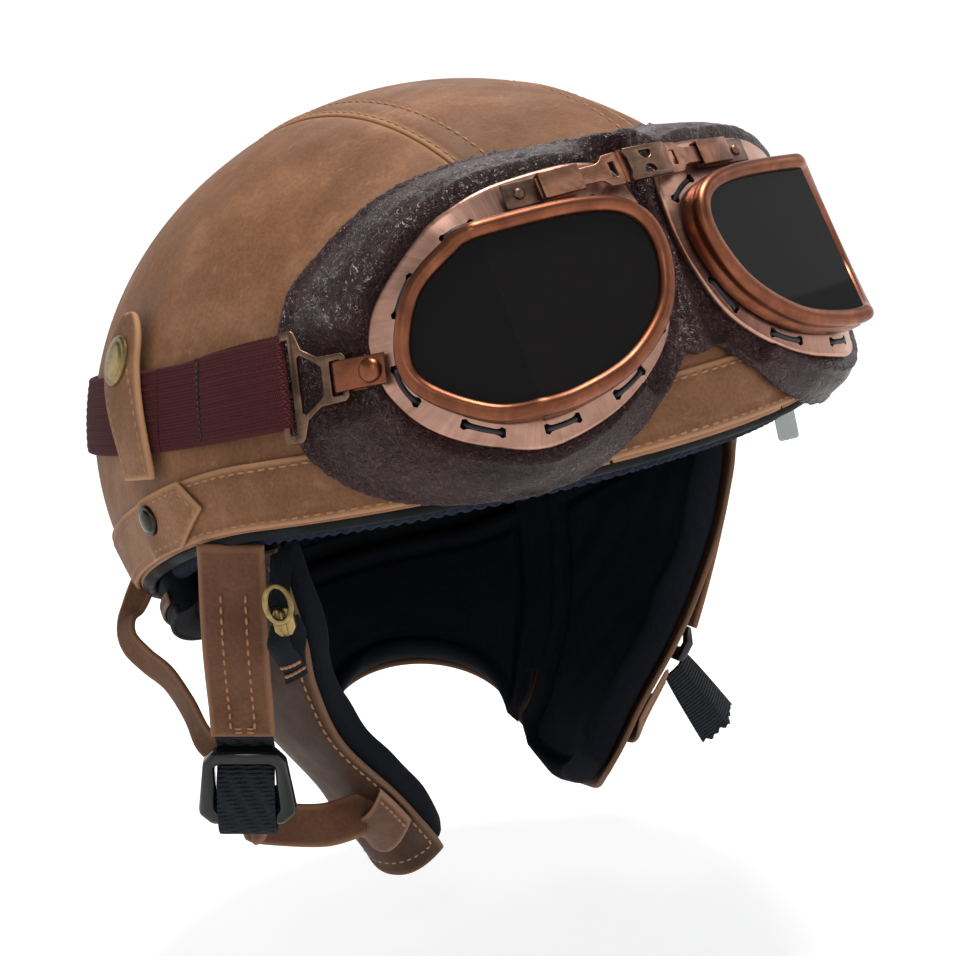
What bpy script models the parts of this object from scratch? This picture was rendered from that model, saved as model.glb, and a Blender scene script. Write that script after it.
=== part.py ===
"""Open face motorcycle helmet with aviator goggles, ear flaps and chin straps.

The helmet faces -Y, +Z is up and +X is the wearer's left. The origin is the centre of the rim's front
plane, which is where the wearer's brow sits. Sizes below are in millimetres and become metres in build().
Pairs are made by mirroring the wearer's right side, which is at -X. The loose chin straps differ.
"""

import math

import bmesh
import bpy
import numpy as np

MM = 0.001
GAP = 0.3  # clearance between pieces that touch
SOFT_GAP = 1.2  # clearance between layers whose faces are laid out differently

# The leather-covered dome is an ellipsoid, flatter in front, cut off along a rim that drops behind
# the ears.
DOME_WIDE, DOME_FRONT, DOME_BACK, DOME_HIGH = 112.1, 127.0, 139.3, 108.6
DOME_Z = 11.3
RIM_DROP, RIM_FROM, RIM_OVER = 34.0, 66.0, 80.0
SEAM_X = 33.0
COVER = 1.4
SHELL = 3.4
LINER = 13.5
BAND_HEIGHT = 20.0
BAND_THICK = 1.3
BAND_SNAP_AT = 86.5

# Elastic strap and the leather tabs that hold it
STRAP_LOW, STRAP_HIGH, STRAP_THICK = 26.5, 49.5, 2.0
TAB_WIDTH, TAB_HEAD, TAB_THICK = 17.5, 26.0, 2.0
TAB_AT, SNAP_AT, SNAP_Z, TAB_TOP = 86.3, 91.4, 52.5, 65.5
SIDE_DEGREE = 2.2  # length of one degree along the shell's side
STRAP_SPLIT = 81.0
STRAP_RISE = 6.2  # how far the strap plates stand off the shell

# Each eyecup is built on two flat lens planes that meet in an upright crease.
CREASE_TOP = np.array((-58.6, -120.9, 65.9))
CREASE_DOWN = np.array((-0.0140, -0.2974, -0.9546))
TO_NOSE = np.array((0.9899, -0.1388, 0.0288))
TO_TEMPLE = np.array((-0.7240, 0.6615, -0.1955))
FACE_FRONT = np.array((-0.1410, -0.9446, 0.2964))
FACE_SIDE = np.array((-0.6897, -0.6884, 0.2246))
HALF_FOLD = math.radians(17.75)
CREASE_LENGTH = 43.8
# Corner points of the outlines, as distance towards the nose and distance down from the crease's top
LENS = ((0, 0), (29.5, 0.2), (44.2, 4.2), (48, 14), (42.7, 28.2), (29, 39), (13, 43.4), (0, 43.8))
LENS += ((-12, 40.2), (-24.6, 29.2), (-26.4, 20), (-18.9, 7.4), (-6.4, 1.1))
FLANGE = ((0, -13.4), (20, -16), (41, -16), (51, -10.5), (54.5, 5), (53.5, 20), (45.5, 37.5), (25, 51.0))
FLANGE += ((0, 54.9), (-19, 48.6), (-33, 36.5), (-38.6, 21), (-34.5, 5), (-16, -8.7))
PANE_THICK = 2.0
RIM_WIDTH = 4.6

# Leather mask outline over the dome's front, as x and z
MASK = ((-2, 79), (-10, 84), (-29, 85), (-46, 83), (-60, 78), (-72, 70), (-82, 61), (-89, 48))
MASK += ((-92, 34), (-92, 20), (-86, 9), (-76, 2), (-60, -1.5), (-48, -1.7), (-38, 0.5), (-28, 5.5))
MASK += ((-20, 10.5), (-12, 15.5), (-4, 18.3))
MASK_MIDDLE = np.array((-46.0, 42.0))
MASK_LIFT, MASK_INSIDE = 2.6, 4.0

# Skirt of ear flaps and neck curtain: level cross-sections, as height, half width, half length and
# middle, then the angles of the flap's front and back edges
SKIRT = (
    (-6, 96, 118, 0, 73, 122),
    (-23, 94, 117, 0, 73, 122),
    (-38, 91, 110, 3, 72.5, 122),
    (-54, 88, 100, 8, 71.8, 122),
    (-77, 78.3, 83, 14, 70.6, 122),
    (-102, 62, 62, 25, 61.3, 122),
    (-115, 54, 58, 32, 57, 122),
    (-130, 48, 40, 35, 47.5, 122),
    (-142, 44, 34, 37, 46, 121),
)
SKIRT_HANG = 8.0
FLAP_LOW, CURTAIN_LOW = -139.0, -85.0
LEATHER, PADDING = 2.0, 6.0

# The loose straps hang along HANG, and their flat side faces along STRAP_FACE.
HANG = np.array((0, 0.3637, -0.9315))
STRAP_ACROSS = np.array((0.8016, -0.5569, -0.2174))
STRAP_FACE = np.array((-0.598, -0.747, -0.2915))
STRAP_TOP = np.array((-105.0, -33.5, -8.0))
CHIN_WIDTH, CHIN_THICK = 18.5, 2.4
# On the wearer's left they lie behind the flap. These are mirrored to +X with the rest.
LOOSE_STRAP = [np.array(p, float) for p in ((-102, -16, -13), (-101, -4, -46), (-80.5, 4, -85))]
LOOSE_END = [np.array(p, float) for p in ((-74.5, 5, -99), (-88.3, 5, -126.5))]
LOOSE_ACROSS = np.array((-0.84, -0.1, 0.53))
REAR_RIGHT = ((-97.5, 56, -27), (-105.5, 55, -30.5), (-108.5, 50, -36), (-107, 43, -42), (-106, 31, -47.5))
REAR_RIGHT += ((-108, 16, -55.5), (-112, 4, -63))
REAR_LEFT = ((-97, 52, -27), (-101, 50, -34), (-102, 42, -45), (-98, 30, -60), (-90, 20, -75))

# Joint axes, on the wearer's right where they come in pairs
GOGGLE_PIVOT = (0, -34.1, 11.3)
FLAP_PIVOT = np.array((-103.0, 0, -9.0))
RING_PIVOT = np.array((-103.0, -52.6, -25.0))


def smooth(t):
    t = min(max(t, 0.0), 1.0)
    return t * t * (3 - 2 * t)


def unit(v):
    v = np.asarray(v, float)
    return v / np.linalg.norm(v)


def mix(a, b, t):
    return a + (b - a) * t


def rim_z(theta):
    """Height of the rim at an angle in degrees from the front."""
    return -RIM_DROP * smooth((abs((theta + 180) % 360 - 180) - RIM_FROM) / RIM_OVER)


def half_length(y):
    return DOME_FRONT if y < 0 else DOME_BACK


def lifted(p, h):
    """A point of the dome, moved h outwards along the dome's normal."""
    size = np.array((DOME_WIDE, half_length(p[1]), DOME_HIGH))
    return p + h * unit((p - (0, 0, DOME_Z)) / size**2)


def dome(theta, z, h=0.0):
    """The dome's point at an angle from the front and a height, h outside it."""
    s = (z - DOME_Z) / DOME_HIGH
    k = math.sqrt(max(0.0, 1 - s * s))
    a = math.radians(theta)
    y = -math.cos(a)
    return lifted(np.array((DOME_WIDE * k * math.sin(a), half_length(y) * k * y, z)), h)


def dome_front(x, z, h=0.0):
    """The point of the dome's front half that shows at x and z in a front view."""
    k = max(0.0, 1 - (x / DOME_WIDE) ** 2 - ((z - DOME_Z) / DOME_HIGH) ** 2)
    return lifted(np.array((x, -DOME_FRONT * math.sqrt(k), z)), h)


# ------------------------------------------------------------------ meshes


def material(name, colour, roughness, metallic=0.0):
    made = bpy.data.materials.new(name)
    made.use_nodes = True
    shader = made.node_tree.nodes["Principled BSDF"]
    shader.inputs["Base Color"].default_value = (*colour, 1)
    shader.inputs["Roughness"].default_value = roughness
    shader.inputs["Metallic"].default_value = metallic
    return made


def build(name, points, faces, look, flip=False):
    """A closed mesh object from points in millimetres, mirrored to the wearer's left with flip."""
    side = np.array((-MM, MM, MM)) if flip else np.array((MM, MM, MM))
    mesh = bpy.data.meshes.new(name)
    mesh.from_pydata([tuple(np.asarray(p) * side) for p in points], [], faces)
    form = bmesh.new()
    form.from_mesh(mesh)
    bmesh.ops.recalc_face_normals(form, faces=form.faces)
    form.to_mesh(mesh)
    form.free()
    mesh.materials.append(look)
    mesh.shade_smooth()
    mesh.set_sharp_from_angle(angle=math.radians(35))
    made = bpy.data.objects.new(name, mesh)
    bpy.context.scene.collection.objects.link(made)
    return made


def loft(name, rings, look, closed=False, flip=False):
    """A solid through cross-sections of equal count, a closed loop of them or one with end caps."""
    n, k = len(rings), len(rings[0])
    points = [p for ring in rings for p in ring]
    faces = []
    for i in range(n if closed else n - 1):
        for j in range(k):
            a, b = i * k, ((i + 1) % n) * k
            faces.append((a + j, a + (j + 1) % k, b + (j + 1) % k, b + j))
    if not closed:
        faces += [tuple(range(k)), tuple((n - 1) * k + j for j in range(k))]
    return build(name, points, faces, look, flip)


def slab(name, surface, across, along, inner, outer, look, closed=False, flip=False):
    """A sheet with thickness: surface(u, v, h) over u and v from 0 to 1, from h = inner to outer."""
    rings = []
    for i in range(across if closed else across + 1):
        u = i / across
        out = [surface(u, j / along, outer(u, j / along)) for j in range(along + 1)]
        back = [surface(u, j / along, inner(u, j / along)) for j in range(along, -1, -1)]
        rings.append(out + back)
    return grid_solid(name, rings, along, look, closed, flip)


def grid_solid(name, rings, along, look, closed, flip):
    """Lofts the rings of slab(), with end caps made of quads because they curve."""
    n, k = len(rings), len(rings[0])
    points = [p for ring in rings for p in ring]
    faces = []
    for i in range(n if closed else n - 1):
        for j in range(k):
            a, b = i * k, ((i + 1) % n) * k
            faces.append((a + j, a + (j + 1) % k, b + (j + 1) % k, b + j))
    for end in () if closed else (0, (n - 1) * k):
        for j in range(along):
            faces.append((end + j, end + j + 1, end + k - 2 - j, end + k - 1 - j))
    return build(name, points, faces, look, flip)


def tube(name, path, radius, look, upright, closed=False, sides=8, flip=False):
    """A round bar along a path. upright(point) gives a direction that never lies along the path."""
    path = [np.asarray(p, float) for p in path]
    n = len(path)
    rings = []
    for i, p in enumerate(path):
        before = path[(i - 1) % n] if closed or i else p
        after = path[(i + 1) % n] if closed or i < n - 1 else p
        along = unit(after - before)
        a = unit(np.cross(along, upright(p)))
        b = np.cross(along, a)
        turns = [2 * math.pi * j / sides for j in range(sides)]
        rings.append([p + radius * (a * math.cos(t) + b * math.sin(t)) for t in turns])
    return loft(name, rings, look, closed, flip)


def prism(name, outline, low, high, place, look, flip=False):
    """An outline of x and y pairs, extruded from low to high. place(x, y, z) puts it on the helmet."""
    rings = [[place(x, y, z) for x, y in outline] for z in (low, high)]
    return loft(name, rings, look, flip=flip)


def block(name, centre, axes, size, look, flip=False):
    """A box with its own axes."""
    outline = [(-0.5, -0.5), (0.5, -0.5), (0.5, 0.5), (-0.5, 0.5)]
    span = [np.asarray(a, float) * s for a, s in zip(axes, size)]

    def place(x, y, z):
        return centre + span[0] * x + span[1] * y + span[2] * z

    return prism(name, outline, -0.5, 0.5, place, look, flip)


def turned(name, centre, axis, profile, look, sides=16, flip=False):
    """A round solid from (radius, height) pairs along an axis, closed by flat ends."""
    axis = unit(axis)
    a = unit(np.cross(axis, (0, 0.3, 1) if abs(axis[2]) < 0.9 else (1, 0, 0)))
    b = np.cross(axis, a)
    turns = [2 * math.pi * j / sides for j in range(sides)]
    rings = []
    for radius, height in profile:
        middle = centre + axis * height
        rings.append([middle + radius * (a * math.cos(t) + b * math.sin(t)) for t in turns])
    return loft(name, rings, look, flip=flip)


def cut(target, cutter, operation="DIFFERENCE"):
    cutter.parent = target
    cutter.hide_render = True
    cutter.display_type = "WIRE"
    modifier = target.modifiers.new(cutter.name, "BOOLEAN")
    modifier.operation = operation
    modifier.object = cutter
    modifier.solver = "EXACT"


def curve(corners, steps=3, closed=True):
    """A smooth outline through corner points (Catmull-Rom), with steps points for each stretch."""
    corners = [np.asarray(c, float) for c in corners]
    n = len(corners)
    found = []
    for i in range(n if closed else n - 1):
        p1, p2 = corners[i], corners[(i + 1) % n]
        p0 = corners[i - 1] if closed or i else 2 * p1 - p2
        p3 = corners[(i + 2) % n] if closed or i < n - 2 else 2 * p2 - p1
        for j in range(steps):
            t = j / steps
            a, b, c = 2 * p0 - 5 * p1 + 4 * p2 - p3, 3 * (p1 - p2) + p3 - p0, p2 - p0
            found.append(p1 + 0.5 * (c * t + a * t * t + b * t**3))
    return found if closed else found + [corners[-1]]


def widened(outline, by):
    """A closed outline grown outwards by a width."""
    n = len(outline)
    middle = sum(outline) / n
    grown = []
    for i, p in enumerate(outline):
        along = unit(outline[(i + 1) % n] - outline[i - 1])
        out = np.array((along[1], -along[0]))
        grown.append(p + by * (out if out @ (p - middle) > 0 else -out))
    return grown


# ------------------------------------------------------------------ shell and liners


def cap(name, outer, inner, lift, look, steps=40, rows=8):
    """A bowl that follows the dome from h = inner to outer, its edge lifted above the rim."""
    points, faces = [], []
    for h in (outer, inner):
        for j in range(rows):
            for i in range(steps):
                theta = 360 * i / steps
                low = math.asin((rim_z(theta) + lift - DOME_Z) / DOME_HIGH)
                turn = mix(low, math.pi / 2, j / rows)
                points.append(dome(theta, DOME_Z + DOME_HIGH * math.sin(turn), h))
        points.append(np.array((0, 0, DOME_Z + DOME_HIGH + h)))
    count = rows * steps + 1
    for start in (0, count):
        for i in range(steps):
            k = (i + 1) % steps
            for j in range(rows - 1):
                a = start + j * steps
                faces.append((a + i, a + k, a + steps + k, a + steps + i))
            top = start + (rows - 1) * steps
            faces.append((top + i, top + k, start + count - 1))
    faces += [(i, (i + 1) % steps, count + (i + 1) % steps, count + i) for i in range(steps)]
    return build(name, points, faces, look)


def cover_panels(look):
    """The leather cover, cut along its two seams into three panels."""
    spans = (("right", -150, -SEAM_X - GAP), ("centre", -SEAM_X, SEAM_X), ("left", SEAM_X + GAP, 150))
    for name, low, high in spans:
        panel = cap(f"cover_panel_{name}", 0, -COVER, 2.2, look)
        middle = np.array(((low + high) / 2, 0, 0))
        keep = block(f"cut_{name}", middle, np.eye(3), (high - low, 400, 400), look)
        cut(panel, keep, "INTERSECT")


def crash_shell(hard, foam, padding):
    cap("crash_shell", -COVER - GAP, -COVER - GAP - SHELL, 2.2, hard)
    inside = -COVER - SHELL - GAP - SOFT_GAP
    cap("impact_liner", inside, inside - LINER, 4.5, foam)
    under = inside - LINER - SOFT_GAP
    cap("comfort_liner", under, under - 5, 7, padding)


def rim_line(h, drop, steps=48):
    return [dome(360 * i / steps, rim_z(360 * i / steps) - drop, h) for i in range(steps)]


def rim_edges(leather, knit):
    up = lambda p: (0, 0, 1)
    tube("edge_binding", rim_line(-2.4, 0.3), 2.2, leather, up, closed=True, sides=6)
    tube("liner_piping", rim_line(-10.6, 2.6), 3.6, knit, up, closed=True, sides=8)


def rim_bands(leather):
    """The band round the front, and the rear band whose pointed ends lie over it."""

    def front(u, v, h):
        theta = mix(-84, 84, u)
        return dome(theta, rim_z(theta) + mix(2.4, BAND_HEIGHT, v), h)

    low, high = GAP, GAP + BAND_THICK
    slab("rim_band_front", front, 26, 3, lambda u, v: low, lambda u, v: high, leather)

    def point(v):
        """Angle of the pointed end at a height across the band."""
        return mix(80.7, 74.1, v / 0.5) if v < 0.5 else mix(74.1, 78.1, (v - 0.5) / 0.5)

    def rear(u, v, h):
        theta = mix(point(v), 360 - point(v), u)
        from_end = min(theta, 360 - theta)
        over = (BAND_THICK + 2 * GAP) * smooth((92 - from_end) / 4)
        return dome(theta, rim_z(theta) + mix(2.4, BAND_HEIGHT, v), h + over)

    slab("rim_band_rear", rear, 38, 4, lambda u, v: low, lambda u, v: high, leather)


def snaps(brass, dark):
    for side, flip in (("right", False), ("left", True)):
        z = rim_z(BAND_SNAP_AT) + 13.2
        at = dome(-BAND_SNAP_AT, z, 2 * (GAP + BAND_THICK) + GAP)
        out = at - dome(-BAND_SNAP_AT, z, 0)
        turned(f"band_snap_{side}", at, out, ((4.6, 0), (4.6, 0.8), (3.4, 1.7), (1.4, 2.1)), dark, 14, flip)
        at = dome(-SNAP_AT, SNAP_Z, 2 * GAP + STRAP_THICK + GAP + TAB_THICK + GAP)
        out = at - dome(-SNAP_AT, SNAP_Z, 0)
        cap_form = ((7.6, 0), (7.6, 1.0), (6.9, 1.7), (6.0, 2.0))
        turned(f"tab_snap_cap_{side}", at, out, cap_form, brass, 20, flip)


def tab_base():
    return rim_z(TAB_AT) + BAND_HEIGHT + 2.0


def tab(leather, flip):
    """The leather tab that buttons over the goggle strap, leaning back from the rim band."""
    side = "left" if flip else "right"

    def place(u, v, h):
        lean = mix(TAB_AT, SNAP_AT, smooth(v * 1.25))
        wide = mix(TAB_WIDTH, TAB_HEAD, smooth(v * 1.4)) * (1 - 0.85 * max(0.0, v - 0.74) / 0.26)
        return dome(-lean + (u - 0.5) * wide / SIDE_DEGREE, mix(tab_base(), TAB_TOP, v), h)

    low = GAP * 3 + STRAP_THICK
    top = lambda u, v: low + TAB_THICK
    slab(f"strap_tab_{side}", place, 4, 10, lambda u, v: low, top, leather, flip=flip)


def goggle_strap(elastic):
    """The elastic round the back, and each front end up to the strap plate, where it is doubled."""

    def back(u, v, h):
        theta = mix(STRAP_SPLIT + 0.1, 360 - STRAP_SPLIT - 0.1, u)
        return dome(theta, mix(STRAP_LOW, STRAP_HIGH, v), h)

    low = 2 * GAP
    slab("goggle_strap", back, 36, 2, lambda u, v: low, lambda u, v: low + STRAP_THICK, elastic)

    def front(u, v, h):
        theta = mix(-STRAP_SPLIT, -57.4, u)
        return dome(theta, mix(STRAP_LOW, STRAP_HIGH, v), h + STRAP_RISE * smooth((u - 0.1) / 0.9))

    def top(u, v):
        return low + STRAP_THICK * (1 + smooth((u - 0.4) / 0.12))

    for side, flip in (("right", False), ("left", True)):
        slab(f"strap_end_{side}", front, 12, 2, lambda u, v: low, top, elastic, flip=flip)


# ------------------------------------------------------------------ goggles


def on_lens(s, v, h):
    """A point by its place on the creased lens planes, h in front of them."""
    base = CREASE_TOP + CREASE_DOWN * v
    if abs(s) < 1e-6:
        both = unit(FACE_FRONT + FACE_SIDE)
        return base + both * h / (both @ FACE_FRONT)
    if s > 0:
        return base + TO_NOSE * s + FACE_FRONT * h
    return base - TO_TEMPLE * s + FACE_SIDE * h


def on_bend(s, v, h, reach=16.0):
    """As on_lens, with the crease rounded off over reach to each side."""
    t = min(max(s / reach, -1), 1)
    a = (1 + t) / 2
    facing = unit(mix(FACE_SIDE, FACE_FRONT, a))
    forward = TO_NOSE * max(s, 0) - TO_TEMPLE * min(s, 0)
    inset = 0.25 * reach * (1 - abs(t)) ** 2 * math.tan(HALF_FOLD)
    return CREASE_TOP + CREASE_DOWN * v + forward + facing * (h - 2 * inset)


def pane(name, front, look, flip):
    """One flat pane, from the crease to the rim's inner edge."""
    edge = widened(curve(LENS, 2), -GAP)
    sign = 1 if front else -1
    kept = [p for p in edge if p[0] * sign > 0.4]
    # Start at the crease so that the kept points run in order round the pane.
    kept.sort(key=lambda p: math.atan2(p[1] - CREASE_LENGTH / 2, p[0] * sign - 1))
    ends = [np.array((0.0, GAP)), np.array((0.0, CREASE_LENGTH - GAP))]
    ring = [ends[0]] + kept + [ends[1]]
    apart = (TO_NOSE if front else TO_TEMPLE) * 0.15
    rings = [[on_lens(*p, h) + apart for p in ring] for h in (-0.6, -0.6 - PANE_THICK)]
    return loft(name, rings, look, flip=flip)


def lens_rim(copper, flip):
    inner = curve(LENS, 2)
    outer = widened(inner, RIM_WIDTH)
    rings = []
    for a, b in zip(inner, outer):
        b = np.array((0.0 if abs(a[0]) < 1e-6 else b[0], b[1]))
        mid = (a + b) / 2
        front = [on_lens(*a, 0.4), on_lens(*mid, 1.8), on_lens(*b, 0.6)]
        rings.append(front + [on_lens(*b, -5.4), on_lens(*a, -5.4)])
    loft(f"lens_rim_{'left' if flip else 'right'}", rings, copper, closed=True, flip=flip)


def resampled(outline, start, count):
    """The outline's crossing with rays from a middle point, so that two outlines pair up."""
    turns = [2 * math.pi * i / count for i in range(count)]
    middle = np.asarray(start, float)
    angles = np.array([math.atan2(*(p - middle)[::-1]) for p in outline])
    radii = np.array([np.linalg.norm(p - middle) for p in outline])
    order = np.argsort(angles)
    angles, radii = angles[order], radii[order]
    angles = np.concatenate([angles - 2 * math.pi, angles, angles + 2 * math.pi])
    radii = np.concatenate([radii] * 3)
    found = []
    for t in turns:
        r = float(np.interp(math.atan2(math.sin(t), math.cos(t)), angles, radii))
        found.append(middle + r * np.array((math.cos(t), math.sin(t))))
    return found


EYE_MIDDLE = (12.0, 21.0)
RING_STEPS = 32


def flange(copper, flip):
    inner = resampled(widened(curve(LENS, 3), 1.2), EYE_MIDDLE, RING_STEPS)
    outer = resampled(curve(FLANGE, 3), EYE_MIDDLE, RING_STEPS)
    rings = []
    for a, b in zip(inner, outer):
        rings.append([on_bend(*a, -6.2), on_bend(*b, -8.6), on_bend(*b, -9.8), on_bend(*a, -7.4)])
    loft(f"eyecup_flange_{'left' if flip else 'right'}", rings, copper, closed=True, flip=flip)


def lace(cord, flip):
    """The cord laced round the flange, with both ends under the bridge's sleeve."""
    around = resampled(widened(curve(LENS, 3), 6.9), EYE_MIDDLE, 40)
    path = [on_bend(*p, -5.2) for p in around[35:] + around[:31]]
    name = f"flange_lace_{'left' if flip else 'right'}"
    tube(name, path, 0.8, cord, lambda p: FACE_FRONT, sides=6, flip=flip)


def mask_half(leather, flip):
    """Padding round one eye: from behind the flange to the dome."""
    name = "goggle_mask" if not flip else "goggle_mask_left_half"
    inner = resampled(curve(LENS, 3), EYE_MIDDLE, RING_STEPS)
    rim = resampled(curve(FLANGE, 3), EYE_MIDDLE, RING_STEPS)
    edge = resampled(curve(MASK, 3), MASK_MIDDLE, 120)
    rings = []
    for a, b in zip(inner, rim):
        outside = on_bend(*b, -10.2)
        hole = on_bend(*a, -7.9)
        turn = unit(outside[[0, 2]] - MASK_MIDDLE)
        foot = max(edge, key=lambda p: unit(p - MASK_MIDDLE) @ turn)
        within = mix(foot, MASK_MIDDLE, 0.42)
        foot, inside = dome_front(*foot, MASK_LIFT), dome_front(*within, MASK_INSIDE)
        puff = mix(outside, foot, 0.45) + unit(foot - inside) * 2.5
        rings.append([hole, outside, puff, foot, inside])
    return loft(name, rings, leather, closed=True, flip=flip)


def mask(leather):
    whole = mask_half(leather, False)
    other = mask_half(leather, True)
    cut(whole, other, "UNION")


def bridge(copper):
    """The adjustable nose bridge: a box sleeve on each flange, an arm that slides in it, and a link."""
    axes = (TO_NOSE, CREASE_DOWN, FACE_FRONT)
    for side, flip in (("right", False), ("left", True)):
        centre = on_lens(31.0, -10.2, -3.9)
        sleeve = block(f"bridge_sleeve_{side}", centre, axes, (12.6, 7.6, 3.4), copper, flip)
        bore = block(f"cut_sleeve_{side}", on_lens(31.0, -10.2, -3.9), axes, (20, 5.8, 1.8), copper, flip)
        cut(sleeve, bore)
        block(f"bridge_arm_{side}", on_lens(38.6, -10.2, -3.9), axes, (22.0, 5.0, 1.1), copper, flip)
    middle = on_lens(-CREASE_TOP[0] / TO_NOSE[0], -10.2, -3.9) * (0, 1, 1)
    link_axes = (np.array((1.0, 0, 0)), CREASE_DOWN, np.array((0, FACE_FRONT[1], FACE_FRONT[2])))
    block("bridge_link", middle, link_axes, (15.0, 9.4, 2.0), copper)


def strap_plate(copper, flip):
    """The slotted plate between the elastic and the side loop, lying along the temple."""
    side = "left" if flip else "right"
    origin = np.array((-91.7, -81.6, 38.5))
    up = unit((0.20, 0.14, 0.97))
    ahead = np.array((0.54, -0.84, 0.03))
    ahead = unit(ahead - up * (up @ ahead))
    out = unit(np.cross(up, ahead))
    out = out if out[0] < 0 else -out

    def place(x, y, z):
        return origin + ahead * x + up * y + out * z

    outline = ((-9, -15), (-4.6, -15), (-2.5, -9.5), (2, -6.4), (9, -6.2), (10, -5.2))
    outline += ((10, 5.2), (9, 6.2), (2, 6.4), (-2.5, 9.5), (-4.6, 15), (-9, 15), (-10, 14), (-10, -14))
    plate = prism(f"strap_plate_{side}", outline, -0.8, 0.8, place, copper, flip)
    slots = {
        "strap": ((-8.3, -12.2), (-6.3, -12.2), (-6.3, 12.2), (-8.3, 12.2)),
        "window": ((-4.2, -7.0), (1.8, -3.6), (1.8, 3.6), (-4.2, 7.0)),
        "loop": ((5.6, -4.6), (8.2, -4.6), (8.2, 4.6), (5.6, 4.6)),
    }
    for name, hole in slots.items():
        cut(plate, prism(f"cut_{name}_{side}", hole, -4, 4, place, copper, flip))
    return place


def side_loop(copper, place, flip):
    """A strip folded through the plate's slot, with its two ends riveted to the flange."""
    side = "left" if flip else "right"
    half = 4.1
    path = ((21.0, 0.9), (14.0, 1.5), (9.0, 1.9), (7.2, 1.5), (6.5, 0))
    path += ((7.2, -1.5), (9.0, -1.9), (14.0, -2.6))
    thick = 0.55
    rings = []
    line = [np.array(p) for p in path]
    for i, p in enumerate(line):
        along = unit(line[min(i + 1, len(line) - 1)] - line[max(i - 1, 0)])
        a, b = p + thick * np.array((-along[1], along[0])), p - thick * np.array((-along[1], along[0]))
        corners = ((a, -half), (a, half), (b, half), (b, -half))
        rings.append([place(q[0], y, q[1]) for q, y in corners])
    loft(f"side_loop_{side}", rings, copper, flip=flip)
    out = place(0, 0, 1) - place(0, 0, 0)
    head = ((3.4, 0), (3.1, 1.0), (2.0, 1.8), (0.8, 2.1))
    turned(f"side_rivet_{side}", place(17.4, 0, 2.1 + GAP), out, head, copper, 14, flip)


# ------------------------------------------------------------------ skirt, straps and zipper


def section(z):
    """Half width, half length, middle, and the flap's edge angles at a height of the skirt."""
    heights = [-row[0] for row in SKIRT]
    return [float(np.interp(-z, heights, [row[k] for row in SKIRT])) for k in range(1, 6)]


def skirt(t, z, h=0.0):
    """The skirt's outer face at an angle from the front and a height, h outside it."""

    def at(angle, level):
        wide, long, middle = section(level)[:3]
        a = math.radians(angle)
        return np.array((wide * math.sin(a), middle - long * math.cos(a), level))

    out = unit(np.cross(at(t + 1, z) - at(t - 1, z), at(t, z + 2) - at(t, z - 2)))
    p = at(t, z)
    return p + h * (out if out @ (p - (0, 10, z)) > 0 else -out)


def skirt_top(t):
    return rim_z(t) - SKIRT_HANG


def flap_place(inset):
    """surface(u, v, h) of an ear flap on the wearer's right, drawn in from its edges by inset."""

    def place(u, v, h):
        low = FLAP_LOW + inset + 11 * abs(2 * u - 1) ** 2.5
        t = 90.0
        for _ in range(3):
            z = mix(skirt_top(t), low, v)
            first, last = section(z)[3:]
            t = mix(first + 0.6 * inset, last - 0.6 * inset, u)
        return skirt(-t, z, h)

    return place


def ear_flap(leather, knit, flip):
    side = "left" if flip else "right"
    outer, inner = flap_place(0.0), flap_place(3.0)
    slab(f"ear_flap_{side}", outer, 10, 12, lambda u, v: -LEATHER, lambda u, v: 0, leather, flip=flip)
    depth = LEATHER + SOFT_GAP
    thick = lambda u, v: -depth - PADDING
    slab(f"flap_padding_{side}", inner, 9, 11, thick, lambda u, v: -depth, knit, flip=flip)


def neck_curtain(leather, knit):
    def place(u, v, h, inset=0.0):
        t = mix(122.5 + 0.6 * inset, 237.5 - 0.6 * inset, u)
        low = CURTAIN_LOW + inset - 36 * (abs(t - 180) / 58.5) ** 2
        z = mix(skirt_top(t), low, v)
        edge = section(z)[4]
        t = mix(edge + 2.2 + 0.6 * inset, 357.8 - edge - 0.6 * inset, u)
        return skirt(t, z, h)

    slab("neck_curtain", place, 18, 6, lambda u, v: -LEATHER, lambda u, v: 0, leather)
    depth = LEATHER + SOFT_GAP
    lined = lambda u, v, h: place(u, v, h, 2.5)
    slab("curtain_padding", lined, 16, 5, lambda u, v: -depth - PADDING, lambda u, v: -depth, knit)


def zipper(tape, brass):
    """The tape that holds the skirt under the rim, with the slider and pull ring at its right end."""

    def place(u, v, h):
        t = mix(73, 287, u)
        level = mix(skirt_top(t) + SOFT_GAP, rim_z(t) + 1, v)
        return skirt(t, skirt_top(t), h - 1.5) * (1, 1, 0) + (0, 0, level)

    slab("zipper_tape", place, 40, 1, lambda u, v: -1.4, lambda u, v: 0, tape)
    at = RING_PIVOT + (2.2, 3.3, -0.5)
    axes = (unit((-0.55, -0.83, 0)), unit((0.83, -0.55, 0)), np.array((0, 0, 1.0)))
    block("zip_slider", at, axes, (4.2, 6.0, 8.0), brass)
    ring = []
    for i in range(20):
        a = 2 * math.pi * i / 20
        ring.append(RING_PIVOT + axes[1] * 3.5 * math.cos(a) + axes[2] * 5.2 * (math.sin(a) + 1))
    tube("zip_pull_ring", ring, 0.9, brass, lambda p: axes[0], closed=True, sides=6)


def strap_at(along, across, out):
    """A place on the hanging front strap, by distance down it, towards the front and outwards."""
    return STRAP_TOP + HANG * along + STRAP_ACROSS * across + STRAP_FACE * out


def loose_at(u, across, out):
    """The same for the wearer's left, where the strap rests on the flap: u runs 0-1 down to its end."""
    start, bend, end = LOOSE_STRAP
    along = unit((1 - u) * (bend - start) + u * (end - bend))
    towards_front = unit(np.cross((-1, -0.15, 0), along))
    face = unit(np.cross(along, towards_front))
    p = (1 - u) ** 2 * start + 2 * u * (1 - u) * bend + u**2 * end
    return p + towards_front * across + face * out


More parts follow.
